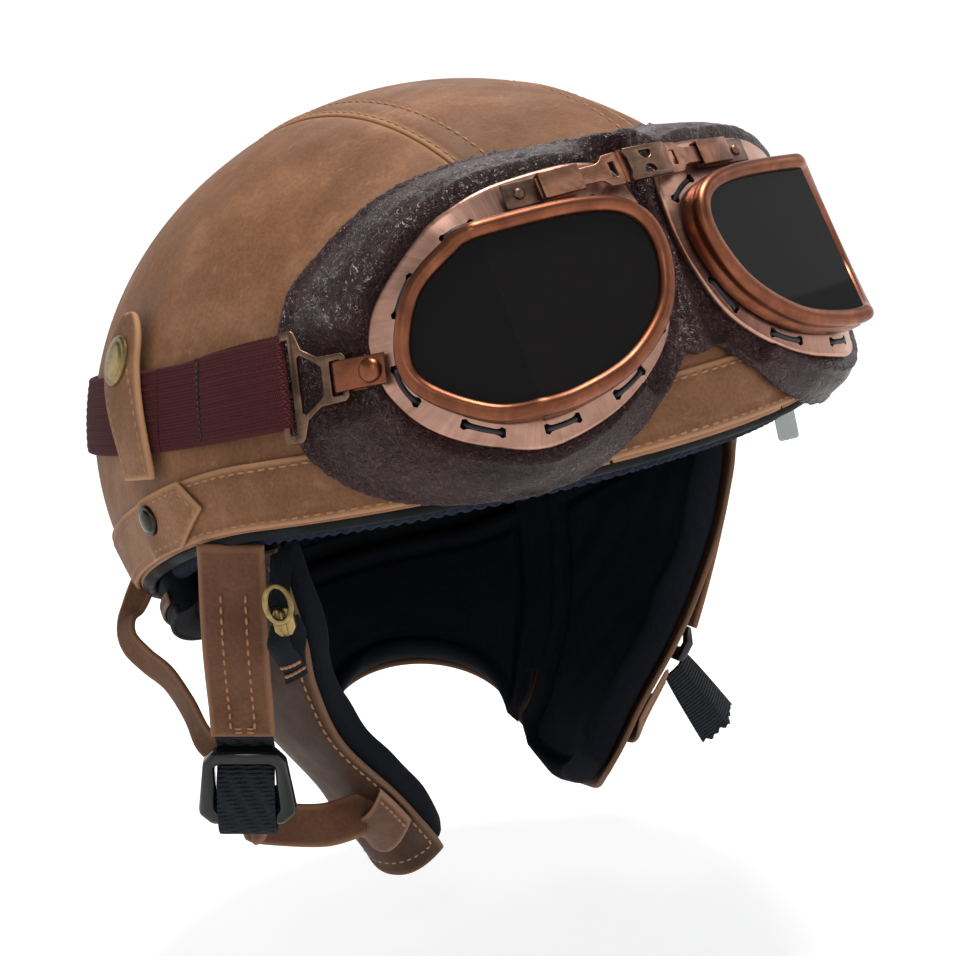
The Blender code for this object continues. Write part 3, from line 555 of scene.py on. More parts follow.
def pebbled(name, dark, light):
    """Dark padded leather with a pebbled grain that catches a cool light."""
    m = Look(name, dark, 0.36, Specular_IOR_Level=0.26)
    at = m.place()
    bent = m.blend(0.06, at, m.noise(at, 130, 2))
    pebble = m.cells(bent, 480, "SMOOTH_F1")
    groove = m.cells(bent, 480, "DISTANCE_TO_EDGE")
    tone = m.ramp(m.noise(at, 30, 4), (0.35, dark), (0.7, light))
    # The grooves between the pebbles are painted near black: painted shade in the grain.
    m.put(
        "Base Color",
        m.blend(m.ramp(groove, (0.0, 0.75), (0.12, 0.0)), tone, tuple(0.35 * c for c in dark))
    )
    m.put("Roughness", m.ramp(m.noise(at, 90, 3), (0.3, 0.30), (0.7, 0.46)))
    creases = m.noise(at, 70, 4, 0.6, 1.5)
    fine = m.noise(m.stretched(1, 1, 0.45), 420, 3, 0.7, 2.0)
    return m.relief(
        (creases, 0.5, 1.4), (fine, 0.3, 0.3), (m.ramp(groove, (0, 0.0), (0.3, 1.0)), 0.9, 0.6),
        (pebble, 0.4, 0.4)
    )


def brushed(name, dark, bright, roughness=0.3, along=0.25, across=9.0, patina=0.5):
    """Antiqued metal, brushed along its own direction, with darker patina in places."""
    m = Look(name, bright, roughness, 1.0)
    lines = m.noise(m.uv(along * 1000, across * 1000), 1.0, 3, 0.7)
    fine = m.noise(m.uv(along * 3000, across * 2500), 1.0, 2, 0.6)
    at = m.place()
    stain = m.math("MULTIPLY", m.ramp(m.noise(at, 95, 5, 0.65, 0.6), (0.38, 1.0), (0.62, 0.0)), patina)
    streak = m.ramp(lines, (0.3, 0.74), (0.7, 1.0))
    colour = m.blend(1.0, m.blend(stain, bright, dark), streak, "MULTIPLY")
    m.put("Base Color", colour)
    rough = m.math("ADD", m.math("MULTIPLY", lines, 0.22), roughness - 0.08)
    m.put("Roughness", m.math("ADD", rough, m.math("MULTIPLY", stain, 0.12)))
    return m.relief((lines, 0.1, 0.08), (fine, 0.1, 0.05), (m.noise(at, 240, 4), 0.06, 0.1))


def knit(name, dark, light, wale=0.9, course=0.62):
    """Knitted elastic: columns of slanted yarns that meet in chevrons."""
    m = Look(name, dark, 0.85, Specular_IOR_Level=0.12)
    parts = m.tree.nodes.new("ShaderNodeSeparateXYZ")
    m.link(parts.inputs[0], m.uv())
    x, y = parts.outputs[0], parts.outputs[1]
    column = m.math("PINGPONG", m.math("DIVIDE", y, wale), 1.0)
    slant = m.math("ADD", m.math("DIVIDE", x, course), column)
    yarn = m.math("MULTIPLY", m.math("PINGPONG", slant, 0.5), 2.0)
    rib = m.math("SINE", m.math("MULTIPLY", m.math("DIVIDE", y, wale), math.pi * 2))
    height = m.math("MULTIPLY", yarn, m.math("ADD", m.math("MULTIPLY", rib, 0.25), 0.75))
    fuzz = m.noise(m.place(), 1500, 3)
    # The colour follows the yarn height and runs dark down in the valleys between the yarns: painted shade,
    # with random fuzz in the tone.
    tone = m.math("MULTIPLY", height, m.math("ADD", fuzz, 0.5))
    m.put("Base Color", m.ramp(tone, (0.1, dark), (0.85, light)))
    return m.relief((height, 0.9, 0.35), (fuzz, 0.25, 0.12))


def cloth(name, dark, light, scale=1400, rough=0.95, ribs=None):
    """Napped lining cloth, or ribbed tape when ribs gives the spacing in millimetres."""
    m = Look(name, dark, rough, Specular_IOR_Level=0.12)
    at = m.place()
    fuzz = m.noise(at, scale, 4, 0.7)
    layers = [(m.noise(at, 120, 3), 0.3, 0.5), (fuzz, 0.6, 0.25)]
    if ribs:
        parts = m.tree.nodes.new("ShaderNodeSeparateXYZ")
        m.link(parts.inputs[0], m.uv())
        wave = m.math("SINE", m.math("MULTIPLY", m.math("DIVIDE", parts.outputs[0], ribs), math.pi * 2))
        layers.append((wave, 0.8, 0.35))
    m.put("Base Color", m.ramp(fuzz, (0.3, dark), (0.75, light)))
    return m.relief(*layers)


def plain(name, colour, roughness, metallic=0.0, grain=400, depth=0.08, **shader):
    """A moulded or polished surface with faint unevenness and smudges."""
    m = Look(name, colour, roughness, metallic, **shader)
    at = m.place()
    m.put("Roughness", m.ramp(m.noise(at, 70, 4), (0.3, roughness * 0.8), (0.75, min(1, roughness * 1.35))))
    tone = m.ramp(
        m.noise(at, 45, 3), (0.3, tuple(0.85 * c for c in colour)),
        (0.7, tuple(min(1, 1.1 * c) for c in colour))
    )
    m.put("Base Color", tone)
    return m.relief((m.noise(at, grain, 3), 0.3, depth))


TAN = nubuck(
    "tan_leather", (0.098, 0.042, 0.018), (0.172, 0.079, 0.038), (0.30, 0.155, 0.085),
    (0.36, 0.19, 0.10)
)
STRAP_TAN = nubuck(
    "strap_leather", (0.058, 0.024, 0.012), (0.098, 0.042, 0.021), (0.15, 0.07, 0.038),
    (0.20, 0.10, 0.055)
)
# Leather for the flaps, curtain and neck-roll trim: a browner leather than the shell, painted darker still
# as painted shade where it hangs under the rim.
FLAP_TAN_PAINTED_SHADE = nubuck(
    "flap_leather", (0.028, 0.012, 0.006), (0.050, 0.023, 0.012), (0.08, 0.039, 0.022),
    (0.15, 0.08, 0.045)
)
KEEPER_TAN = nubuck(
    "keeper_leather", (0.07, 0.033, 0.02), (0.115, 0.057, 0.036), (0.17, 0.09, 0.06), (0.24, 0.13, 0.08)
)
MASK_LEATHER = pebbled("mask_leather", (0.027, 0.0095, 0.0105), (0.050, 0.0185, 0.0195))
COPPER = brushed("copper_rim", (0.045, 0.016, 0.010), (0.27, 0.095, 0.050), 0.3, 0.02, 1.5)
FLANGE_COPPER = brushed("copper_flange", (0.14, 0.07, 0.05), (0.50, 0.285, 0.215), 0.3, 0.9, 0.03, 0.35)
BRIDGE_COPPER = brushed("copper_bridge", (0.05, 0.028, 0.02), (0.42, 0.20, 0.13), 0.3, 0.1, 2.0, 0.75)
GUNMETAL = brushed("gunmetal", (0.02, 0.015, 0.012), (0.22, 0.13, 0.09), 0.33, 0.1, 2.0, 0.7)
BRASS = brushed("brass", (0.05, 0.035, 0.015), (0.40, 0.29, 0.12), 0.33, 0.4, 0.4, 0.6)
DARK_SNAP = plain("dark_snap", (0.035, 0.028, 0.022), 0.22, 1.0)
MAROON = knit("maroon_elastic", (0.028, 0.005, 0.006), (0.105, 0.024, 0.026))
LINING = cloth("lining", (0.0015, 0.0018, 0.0028), (0.006, 0.008, 0.013))
PIPING = cloth("piping", (0.004, 0.006, 0.012), (0.016, 0.022, 0.038), 900)
WEBBING = cloth("webbing", (0.005, 0.006, 0.008), (0.022, 0.026, 0.032), 1200, 0.7, 1.3)
TAPE = knit("zip_tape", (0.004, 0.005, 0.007), (0.020, 0.024, 0.030), 0.8, 0.5)
CLEAR_TAB = plain("clear_tab", (0.40, 0.43, 0.42), 0.25, Transmission_Weight=0.6, IOR=1.3)
BINDING = plain("binding", (0.004, 0.004, 0.005), 0.7, grain=700, depth=0.3, Specular_IOR_Level=0.15)
THREAD = plain("thread", (0.27, 0.125, 0.055), 0.7, grain=2500, depth=0.1)
DARK_THREAD = plain("dark_thread", (0.02, 0.018, 0.018), 0.8, grain=2500, depth=0.1)
LACE = plain("lace", (0.008, 0.009, 0.014), 0.6, grain=2000, depth=0.1)
PLASTIC = plain("black_plastic", (0.003, 0.0034, 0.004), 0.12, Specular_IOR_Level=0.35)
SHELL = plain("shell_plastic", (0.025, 0.025, 0.026), 0.45, grain=700)
FOAM = plain("foam", (0.06, 0.06, 0.065), 0.9, grain=300, depth=0.6)
SMOKE = Look("smoke_lens", (0.010, 0.009, 0.010), 0.03, Transmission_Weight=0.35, IOR=1.13).made


# ------------------------------------------------------------------ camera, light and floor


def set_camera():
    """The viewpoint: close, from the wearer's right front, tipped to the side."""
    azimuth, elevation, roll = (math.radians(a) for a in (-33.181, 7.186, -12.66))
    back = Vector(
        (
            math.sin(azimuth) * math.cos(elevation), -math.cos(azimuth) * math.cos(elevation),
            math.sin(elevation)
        )
    )
    right = (-back).cross(Vector((0, 0, 1))).normalized()
    up = right.cross(-back)
    c, s = math.cos(roll), math.sin(roll)
    right, up = c * right + s * up, c * up - s * right
    camera = bpy.data.objects.new("camera", bpy.data.cameras.new("camera"))
    camera.data.lens, camera.data.sensor_width = 64.44, 36.0
    camera.matrix_world = Matrix((right, up, back)).transposed().to_4x4()
    camera.location = (-0.30704, -0.47747, 0.06121)
    bpy.context.scene.collection.objects.link(camera)
    bpy.context.scene.camera = camera


def area_light(name, at, target, size, power, colour=(1, 1, 1)):
    data = bpy.data.lights.new(name, "AREA")
    data.shape, data.size, data.energy, data.color = "DISK", size, power, colour
    light = bpy.data.objects.new(name, data)
    light.location = at
    light.rotation_euler = (Vector(target) - Vector(at)).to_track_quat("-Z", "Y").to_euler()
    bpy.context.scene.collection.objects.link(light)


def set_stage():
    """A pale floor that curves up into a pale wall all round, and soft lights."""
    profile = [
        (0.0, 0.0), (0.6, 0.0), (1.4, 0.0), (2.0, 0.04), (2.5, 0.2), (2.9, 0.55), (3.1, 1.1), (3.2, 2.2)
    ]
    line = curve(profile, 4, closed=False)
    line[:, 1] = np.maximum(line[:, 1], 0)
    turn = turns(64)
    points = along_last(
        line[1:, 0][:, None] * np.cos(turn), line[1:, 0][:, None] * np.sin(turn), line[1:, 1][:, None]
    )
    points = points.reshape(-1, 3) * 1000 + (0, 0, FLOOR_Z)
    faces = grid_faces(len(line) - 1, 64, False).tolist() + [tuple(range(64))]
    pale = Look("pale_floor", (0.5, 0.5, 0.505), 0.9, Emission_Color=(1, 1, 1, 1), Emission_Strength=0.66)
    make("floor", points, faces, pale.made, None)
    world = bpy.data.worlds.new("studio")
    world.use_nodes = True
    world.node_tree.nodes["Background"].inputs[0].default_value = (0.95, 0.97, 1.0, 1)
    world.node_tree.nodes["Background"].inputs[1].default_value = 0.18
    bpy.context.scene.world = world
    bpy.context.scene.view_settings.view_transform = "Standard"
    area_light("key", (0.28, -0.2, 1.5), (0, 0, 0.05), 0.6, 33, (1, 0.97, 0.93))
    area_light("flash", (-0.75, -1.05, 1.0), (-0.05, -0.09, 0.06), 0.3, 2.2, (0.95, 0.98, 1))
    area_light("front_right", (1.5, -0.6, 0.9), (0, -0.05, 0.02), 0.9, 2)
    area_light("rear", (0.9, 1.2, 1.3), (0, 0, 0.05), 1.0, 6)
    area_light("fill", (1.4, 0.1, 0.3), (0, 0, 0), 0.9, 1)


set_camera()
set_stage()

# ------------------------------------------------------------------ shell


def sphere_point(p):
    length = np.where(p[..., 1] < 0, FRONT, BACK)
    return (p - (0, 0, DOME_Z)) / along_last(WIDE, length, HIGH)


def from_sphere(q, h):
    length = np.where(q[..., 1] < 0, FRONT, BACK)
    return lifted(unit(q) * along_last(WIDE, length, HIGH) + (0, 0, DOME_Z), h)


def seam(t):
    """The right-hand seam, from the front rim at t = 0 over the top to the back rim at t = 1."""
    t = np.asarray(t, float)
    first, last = math.asin(-DOME_Z / HIGH), math.pi - math.asin((-34 - DOME_Z) / HIGH / 0.96)
    a = mix(first, last, t)
    x = mix(SEAM_FRONT, SEAM_TOP, np.sin(np.clip(a, 0, math.pi)))
    k = np.sqrt(1 - (x / WIDE) ** 2)
    y = -np.cos(a) * k
    z = DOME_Z + HIGH * np.sin(a) * k
    theta = np.degrees(np.arctan2(x / WIDE, -y))
    z = np.maximum(z, rim_z(theta))
    k = np.sqrt(1 - (x / WIDE) ** 2 - ((z - DOME_Z) / HIGH) ** 2)
    return along_last(-x / WIDE, np.sign(y) * k, (z - DOME_Z) / HIGH)


def centre_panel():
    def surface(u, v, h):
        q = seam(u)
        across = 1 - 2 * v
        q = q * along_last(across, 1.0, 1.0)
        theta = np.degrees(np.arctan2(q[..., 0], -q[..., 1]))
        low = (rim_z(theta) - DOME_Z) / HIGH
        q = unit(q)
        flat = np.sqrt(
            (1 - np.maximum(q[..., 2], low) ** 2) / np.maximum(1e-9, q[..., 0] ** 2 + q[..., 1] ** 2)
        )
        q = np.where((q[..., 2] < low)[..., None], along_last(q[..., 0] * flat, q[..., 1] * flat, low), q)
        return from_sphere(q, h)

    def face(u, v, across, along):
        width = across[:, -1:]
        d = np.minimum(across, width - across)
        return 0.25 * ridge(d - 4.5, 3.0) - 0.35 * ridge(d - 1.6, 1.1) - 0.4 * ridge(d - 9.6, 1.3)

    us, vs = np.linspace(0, 1, 190), spaced(40, 66, 1.4)
    piece = band("cover_centre", surface, us, vs, -1.1, 0.55, TAN, "helmet", face=face, edge_round=1.3)
    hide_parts("cover_panel_centre")
    for i, d in enumerate((1.6, 9.6)):
        for side, v in (("right", d / 67), ("left", 1 - d / 67)):
            sewn(
                f"cover_stitch{i}_{side}", surface, np.linspace(0.035, 0.965, 300), v, 0.25, THREAD,
                "helmet", pitch=3.9
            )


def side_panels():
    def surface(u, v, h):
        top = seam(u)
        front = np.degrees(np.arcsin(SEAM_FRONT / WIDE))
        back = 180 - np.degrees(np.arcsin(SEAM_FRONT / WIDE / 0.92))
        theta = -mix(front, back, u)
        low = sphere_point(dome(theta, rim_z(theta) + 0.2))
        q = low * (1 - v)[..., None] + top * v[..., None]
        return from_sphere(q, h)

    def face(u, v, across, along):
        d = across[:, -1:] - across
        return -0.8 * smooth(1 - d / 3.0) + 0.15 * ridge(d - 6, 4)

    us, vs = np.linspace(0, 1, 200), np.linspace(0, 1, 70)
    for side, flip in SIDES:
        piece = band(f"cover_{side}", surface, us, vs, -1.1, 0.0, TAN, "helmet", face=face, flip=flip)
        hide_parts(f"cover_panel_{side}")


def bowl(name, outer, inner, lift, look, relief, steps, rows):
    """A bowl that follows the dome from h = inner to outer. relief(theta, t) lowers its inner face."""
    theta = 360 * np.arange(steps) / steps
    points, faces = [], []
    for k, h in enumerate((outer, inner)):
        t = np.arange(rows)[:, None] / rows
        low = np.arcsin((rim_z(theta) + lift - DOME_Z) / HIGH)
        z = DOME_Z + HIGH * np.sin(mix(low[None, :], math.pi / 2, t))
        extra = relief(theta[None, :], t) if k else 0.0
        points.append(dome(np.broadcast_to(theta, z.shape), z, h + extra).reshape(-1, 3))
        points.append(np.array([(0, 0, DOME_Z + HIGH + h)]))
        start = k * (rows * steps + 1)
        faces += (grid_faces(rows, steps, False) + start).tolist()
        end = start + (rows - 1) * steps
        faces += [(end + i, end + (i + 1) % steps, start + rows * steps) for i in range(steps)]
    other = rows * steps + 1
    faces += [(i, (i + 1) % steps, other + (i + 1) % steps, other + i) for i in range(steps)]
    return make(name, np.concatenate(points), faces, look, "helmet")


def rim_path(h, drop, count):
    theta = 360 * np.arange(count * 4) / (count * 4)
    return even(dome(theta, rim_z(theta) - drop, h), count, closed=True)


def inside_shell():
    def quilt(theta, t):
        pads = np.abs(np.sin(np.radians(theta * 4))) ** 0.35 * np.abs(
            np.sin(np.pi * np.clip(t * 3, 0, 3))
        ) ** 0.3
        return -1.5 + 3.0 * (1 - pads)

    liner = bowl("comfort_lining", -21.2, -25.4, 7, LINING, quilt, 144, 48)
    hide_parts("comfort_liner")
    for node, look in (("crash_shell", SHELL), ("impact_liner", FOAM)):
        nodes[node].material_slots[0].material = look
    piece = cord_form(
        "rim_binding", rim_path(-2.2, 0.0, 420), 2.2, BINDING, "helmet", closed=True, sides=14
    )
    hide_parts("edge_binding")
    path = rim_path(-10.6, 2.6, 1300)
    turn = turns(20)
    far = 4.2 * np.arange(len(path))[:, None] / len(path) * 2 * math.pi * 41
    ribs = 3.5 + 0.38 * np.sin(4 * turn[None, :] + far)
    piece = cord_form("piping", path, ribs, PIPING, "helmet", closed=True, sides=20)
    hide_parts("liner_piping")


def rim_bands():
    def front(u, v, h):
        theta = mix(-84.0, 84.0, u)
        return dome(theta, rim_z(theta) + mix(BAND_LOW, BAND_HIGH, v), h)

    def puff(u, v, across, along):
        d = np.minimum(across - 1.7, across[:, -1:] - across)
        return -0.3 * ridge(d - 2.0, 1.0) + 0.1 * ridge(d - 4.5, 2.0)

    us, vs = spaced(220, 330), spaced(22, 18)
    piece = band("band_front", front, us, vs, 0.15, 1.75, TAN, "helmet", face=puff)
    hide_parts("rim_band_front")
    line = np.linspace(0.03, 0.97, 260)
    for i, v in enumerate((0.105, 0.885)):
        sewn(f"band_front_stitch{i}", front, line, v, 1.5, THREAD, "helmet", pitch=3.7)

    def point(v):
        return np.where(v < 0.5, mix(80.7, 74.1, v / 0.5), mix(74.1, 78.1, (v - 0.5) / 0.5))

    def rear(u, v, h):
        theta = mix(point(v), 360 - point(v), u)
        end = np.minimum(theta, 360 - theta)
        over = 1.9 * smooth((92 - end) / 4)
        return dome(theta, rim_z(theta) + mix(BAND_LOW, BAND_HIGH, v), h + over)

    us = spaced(260, 500)
    piece = band("band_rear", rear, us, vs, 0.15, 1.75, TAN, "helmet", face=puff)
    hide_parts("rim_band_rear")
    inset = 3.0 / 480
    for side, mirror in SIDES:
        v = np.concatenate((np.full(140, 0.14), np.linspace(0.14, 0.86, 26), np.full(140, 0.86)))
        u = np.concatenate((np.linspace(0.5, inset, 140), np.full(26, inset), np.linspace(inset, 0.5, 140)))
        u = 1 - u if mirror else u
        sewn(f"band_rear_stitch_{side}", rear, u, v, 1.5, THREAD, "helmet", pitch=3.7)


def snap_cap(name, at, out, r, look, body, flip):
    """A press stud's cap: a rolled rim round a low dome."""
    profile = [
        (r * 0.9, -0.6), (r, -0.1), (r, 0.5), (r * 0.95, 0.95), (r * 0.87, 1.1), (r * 0.8, 1.0),
        (r * 0.76, 1.02)
    ]
    profile += [
        (
            r * q, 1.02 + 0.9 * math.sqrt(max(0, 1 - (q / 0.8) ** 2))
        ) for q in (0.7, 0.6, 0.45, 0.3, 0.15, 0.05)
    ]
    return turned(name, at, out, profile, look, body, flip=flip)


def snaps():
    for side, flip in SIDES:
        at = dome(-STUD_AT, rim_z(STUD_AT) + STUD_ABOVE_RIM, 3.7)
        out = unit(at - dome(-STUD_AT, rim_z(STUD_AT) + STUD_ABOVE_RIM, 0.0))
        piece = snap_cap(f"band_stud_{side}", at, out, 4.6, DARK_SNAP, "helmet", flip)
        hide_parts(f"band_snap_{side}")
        at = dome(-TAB_HEAD_AT, np.float64(CAP_Z), 5.4)
        out = unit(at - dome(-TAB_HEAD_AT, np.float64(CAP_Z), 0.0))
        piece = snap_cap(f"tab_stud_{side}", at, out, 7.6, BRASS, f"tab_{side}", flip)
        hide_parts(f"tab_snap_cap_{side}")


def tabs():
    def place(u, v, h):
        lean = mix(TAB_AT, TAB_HEAD_AT, smooth(v * 1.25))
        tip = np.sqrt(np.clip(1 - (np.maximum(0.0, v - 0.76) / 0.245) ** 1.7, 0.0, 1))
        wide = mix(17.5, 25.0, smooth(v * 1.5)) * np.maximum(tip, 0.12)
        puff = 1.2 * smooth(v * 4) * np.sin(np.pi * u)
        return dome(-lean + (u - 0.5) * wide / 2.2, mix(TAB_LOW, TAB_TOP, v), h + 0.3 * puff)

    for side, flip in SIDES:
        piece = band(
            f"tab_leather_{side}", place, spaced(22, 20), spaced(60, 47), 2.95, 4.95, TAN,
            f"tab_{side}", flip=flip
        )
        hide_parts(f"strap_tab_{side}")
        v = np.linspace(0.03, 0.80, 60)
        for i, u in enumerate((0.14, 0.86)):
            bend = mix(u, 0.5, 0.35 * smooth((v - 0.45) / 0.35))
            sewn(
                f"tab_stitch{i}_{side}", place, bend, v, 4.75, THREAD, f"tab_{side}", pitch=3.3,
                length=2.4, flip=flip
            )


def elastic():
    def back(u, v, h):
        theta = mix(81.1, 278.9, u)
        return dome(theta, mix(ELASTIC_LOW, ELASTIC_HIGH, v), h)

    def weave(u, v, across, along):
        return 0.12 * np.cos(across * 2 * math.pi / 2.3)

    piece = band(
        "elastic_back", back, spaced(200, 400), spaced(30, 23), 0.6, 2.6, MAROON, "helmet",
        edge_round=0.9, face=weave
    )
    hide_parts("goggle_strap")

    def front(u, v, h):
        theta = mix(-81.0, -55.0, u)
        return dome(theta, mix(ELASTIC_LOW, ELASTIC_HIGH, v), h + 6.2 * smooth((u - 0.09) / 0.82))

    def doubled(u, v, across, along):
        return 1.9 * smooth((u - 0.36) / 0.05) - 0.5 * ridge(along - 24.5, 0.9) + weave(u, v, across, along)

    for side, flip in SIDES:
        piece = band(
            f"elastic_end_{side}", front, spaced(90, 52), spaced(30, 23), 0.6, 2.6, MAROON, None,
            edge_round=0.9, face=doubled, flip=flip
        )
        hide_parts(f"strap_end_{side}")
        sign = -1 if flip else 1
        start = front(np.float64(0.0), np.float64(0.5), np.float64(1.0)) * (sign, 1, 1) * MM
        end = front(np.float64(0.68), np.float64(0.5), np.float64(1.0)) * (sign, 1, 1) * MM
        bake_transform(piece)
        line = np.linspace(0.08, 0.92, 30)
        sewn(
            f"elastic_stitch_{side}", front, 0.43, line, 4.5, DARK_THREAD, "goggles", pitch=1.7,
            length=1.2, radius=0.3, flip=flip
        )


centre_panel()
side_panels()
inside_shell()
rim_bands()
snaps()
tabs()
elastic()


# ------------------------------------------------------------------ goggles


def wrinkled(angle, t, seed, many=9):
    """Folds that run from the flange towards the helmet, stronger in places round the eye."""
    rng = np.random.default_rng(seed)
    total = np.zeros(np.broadcast(angle, t).shape)
    for _ in range(many):
        k, phase, lean = rng.integers(9, 34), rng.uniform(0, 6.28), rng.normal(0, 1.6)
        where = 0.5 + 0.5 * np.cos(angle - rng.uniform(0, 6.28))
        total += (1 - np.abs(np.sin(k * angle / 2 + phase + lean * t)) ** 0.6) * where**2
    return total / many


def mask_rings(count):
    """Rings of points round the wearer's right eye: from behind the flange out to the helmet."""
    inner = rayed(curve(LENS, 8), EYE_MIDDLE, count)
    rim = rayed(widened(curve(FLANGE, 8), -0.8), EYE_MIDDLE, count)
    hole, lip = on_bend(*inner.T, -7.9), on_bend(*rim.T, -10.0)
    outline = curve(MASK_FOOT, 8)
    way = outline - MASK_MIDDLE
    angle = np.arctan2(way[:, 1], way[:, 0])
    order = np.argsort(angle)
    turn = np.arctan2(lip[:, 2] - MASK_MIDDLE[1], lip[:, 0] - MASK_MIDDLE[0])
    reach = np.interp(turn, angle[order], np.linalg.norm(way, axis=1)[order], period=2 * math.pi)
    flat = np.stack((np.cos(turn), np.sin(turn)), -1)
    foot = MASK_MIDDLE + reach[:, None] * flat
    within = MASK_MIDDLE + 0.6 * reach[:, None] * flat
    nose = smooth((foot[:, 0] + 16) / 14)[:, None]
    low = smooth((foot[:, 0] + 42) / 18) * smooth((62 - foot[:, 1]) / 12)
    foot_at = dome_front(*foot.T, 5.0)
    above_band = smooth((foot[:, 1] - 17) / 6)
    base = dome_front(*foot.T, mix(3.0, 0.6, low * above_band))
    within_at = dome_front(*within.T, mix(4.6, 0.6, low * smooth((within[:, 1] - 20) / 5)))
    bridge_over = along_last(foot_at[:, 0], mix(lip[:, 1], foot_at[:, 1], -0.1) - 1.2 * low, foot_at[:, 2])
    return hole, lip, mix(foot_at, bridge_over, nose), base, within_at, turn


def plate_frame():
    """Where the strap plates lie: a middle point, then the ways ahead, up and out."""
    up = unit((0.20, 0.14, 0.97))
    ahead = np.array((0.54, -0.84, 0.03))
    ahead = unit(ahead - up * (up @ ahead))
    out = unit(np.cross(up, ahead))
    return np.array((-91.7, -81.6, 38.5)), ahead, up, out if out[0] < 0 else -out


def behind_plate(points):
    """Presses the mask in where the strap plate and its loop lie over it."""
    origin, ahead, up, out = plate_frame()
    d = points - origin
    x, y, z = d @ ahead, d @ up, d @ out
    half = np.interp(x, (-12, -4, 2, 9, 22), (16, 15, 8, 6, 5))
    past = np.maximum(np.abs(y) - half, 0) + np.maximum(-13 - x, 0) + np.maximum(x - 22, 0)
    near = smooth(1 - past / 7.0)
    return points - out * (near * np.maximum(z + 2.2, 0))[..., None]


def goggle_mask():
    count, rows = 300, 34
    hole, lip, foot, base, within, turn = mask_rings(count)
    span = foot - lip
    length = np.linalg.norm(span, axis=1, keepdims=True)
    around = unit(np.roll(lip, -1, 0) - np.roll(lip, 1, 0))
    out = unit(np.cross(around, span))
    out = out * np.sign((out * unit(lip - hole)).sum(1, keepdims=True) + 1e-9)
    t = np.linspace(0, 1, rows)[:, None, None]
    swell = 0.24 * length * np.sin(np.pi * t**0.8) * (1 - 0.6 * t) + 2.2 * np.sin(
        np.pi * np.clip(t / 0.22, 0, 1)
    )
    hem = -1.3 * ridge(t - 0.87, 0.045)
    points = lip + span * t + out * (swell + hem)
    folds = wrinkled(turn[None, :], t[..., 0], 5)[..., None]
    soft = np.sin(np.pi * t) ** 0.5
    points = points + out * soft * (3.0 * folds - 1.0) * np.clip(length / 22, 0.4, 1.3)
    points = behind_plate(points)
    under = np.stack((mix(foot, base, 0.5), base, mix(base, within, 0.5), within))
    inside = mix(within, hole, np.array((0.35, 0.7, 1.0))[:, None, None])
    rings = np.concatenate((points, under, inside))
    rings = rings.transpose(1, 0, 2)
    faces = grid_faces(count, rings.shape[1], True)
    flat = rings.reshape(-1, 3)
    both = np.concatenate((flat, flat * (-1, 1, 1)))
    piece = make("mask", both, np.concatenate((faces, faces + len(flat))), MASK_LEATHER, None)
    apply(piece, "REMESH", mode="VOXEL", voxel_size=MASK_VOXEL * MM, use_smooth_shade=True)
    apply(piece, "SMOOTH", factor=0.5, iterations=5)
    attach(piece, "goggles")
    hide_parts("goggle_mask")


def lens_rims():
    inner = even(curve(LENS, 16), 260, closed=True)
    profile = (
        (0.0, -4.6), (0.0, 0.1), (0.35, 0.75), (1.1, 1.35), (2.2, 1.55), (3.3, 1.3), (4.1, 0.7),
        (4.5, -0.1)
    )
    profile += ((4.6, -1.2), (4.2, -2.1), (4.35, -3.0), (4.7, -3.6), (4.7, -5.8), (1.5, -5.8))
    rings = [on_bend(*widened(inner, by).T, h, 1.3) for by, h in profile]
    rings = np.array(rings).transpose(1, 0, 2)
    uv = along_last(np.arange(len(inner))[:, None] * 0.72, travel(rings, 1)).reshape(-1, 2)
    faces = grid_faces(len(inner), len(profile), True)
    for side, flip in SIDES:
        piece = make(f"bezel_{side}", rings.reshape(-1, 3), faces, COPPER, "goggles", uv, None, flip, 42)
        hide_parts(f"lens_rim_{side}")


def panes():
    """Two flat panes to each eye, meeting in an upright line."""
    edge = widened(even(curve(LENS, 16), 240, closed=True), 0.8)
    for name, sign in (("front", 1), ("side", -1)):
        kept = edge[edge[:, 0] * sign > 0.3]
        start = np.argmax(np.linalg.norm(np.roll(kept, 1, 0) - kept, axis=1))
        kept = np.roll(kept, -start, 0)
        y0, y1 = kept[0, 1], kept[-1, 1]
        line = np.vstack(([(0.09 * sign, y0)], kept, [(0.09 * sign, y1)]))
        rings = np.concatenate([on_lens(*line.T, h) for h in (-0.6, -2.6)])
        n = len(line)
        faces = [tuple(range(n)), tuple(range(n, 2 * n))] + side_faces(n)
        for side, flip in SIDES:
            piece = make(f"pane_{name}_{side}", rings, faces, SMOKE, "goggles", None, None, flip, 30)
            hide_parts(f"lens_{name}_{side}")


def slot_line():
    """Where the laced slots run, round the flange between the lens rim and the flange's edge."""
    near = rayed(widened(curve(LENS, 12), 6.5), EYE_MIDDLE, 360) - EYE_MIDDLE
    rim = np.linalg.norm(rayed(curve(FLANGE, 8), EYE_MIDDLE, 360) - EYE_MIDDLE, axis=1)
    reach = np.minimum(np.linalg.norm(near, axis=1), rim - 2.6)
    return even(EYE_MIDDLE + unit(near) * reach[:, None], 360, closed=True)


def slot_places():
    """Start and end along the slot line for each slot, none where the bridge sits."""
    line = slot_line()
    angle = np.degrees(np.arctan2(line[:, 1] - EYE_MIDDLE[1], line[:, 0] - EYE_MIDDLE[0]))
    far = travel(line, 0)
    found = []
    at = 3.0
    while at + 13 < far[-1]:
        a = np.interp(at + 6.5, far, np.unwrap(np.radians(angle)))
        a = math.degrees(a) % 360
        if not 245 < a < 322:
            found.append((at, at + 12.5))
        at += 24.5
    return line, far, found


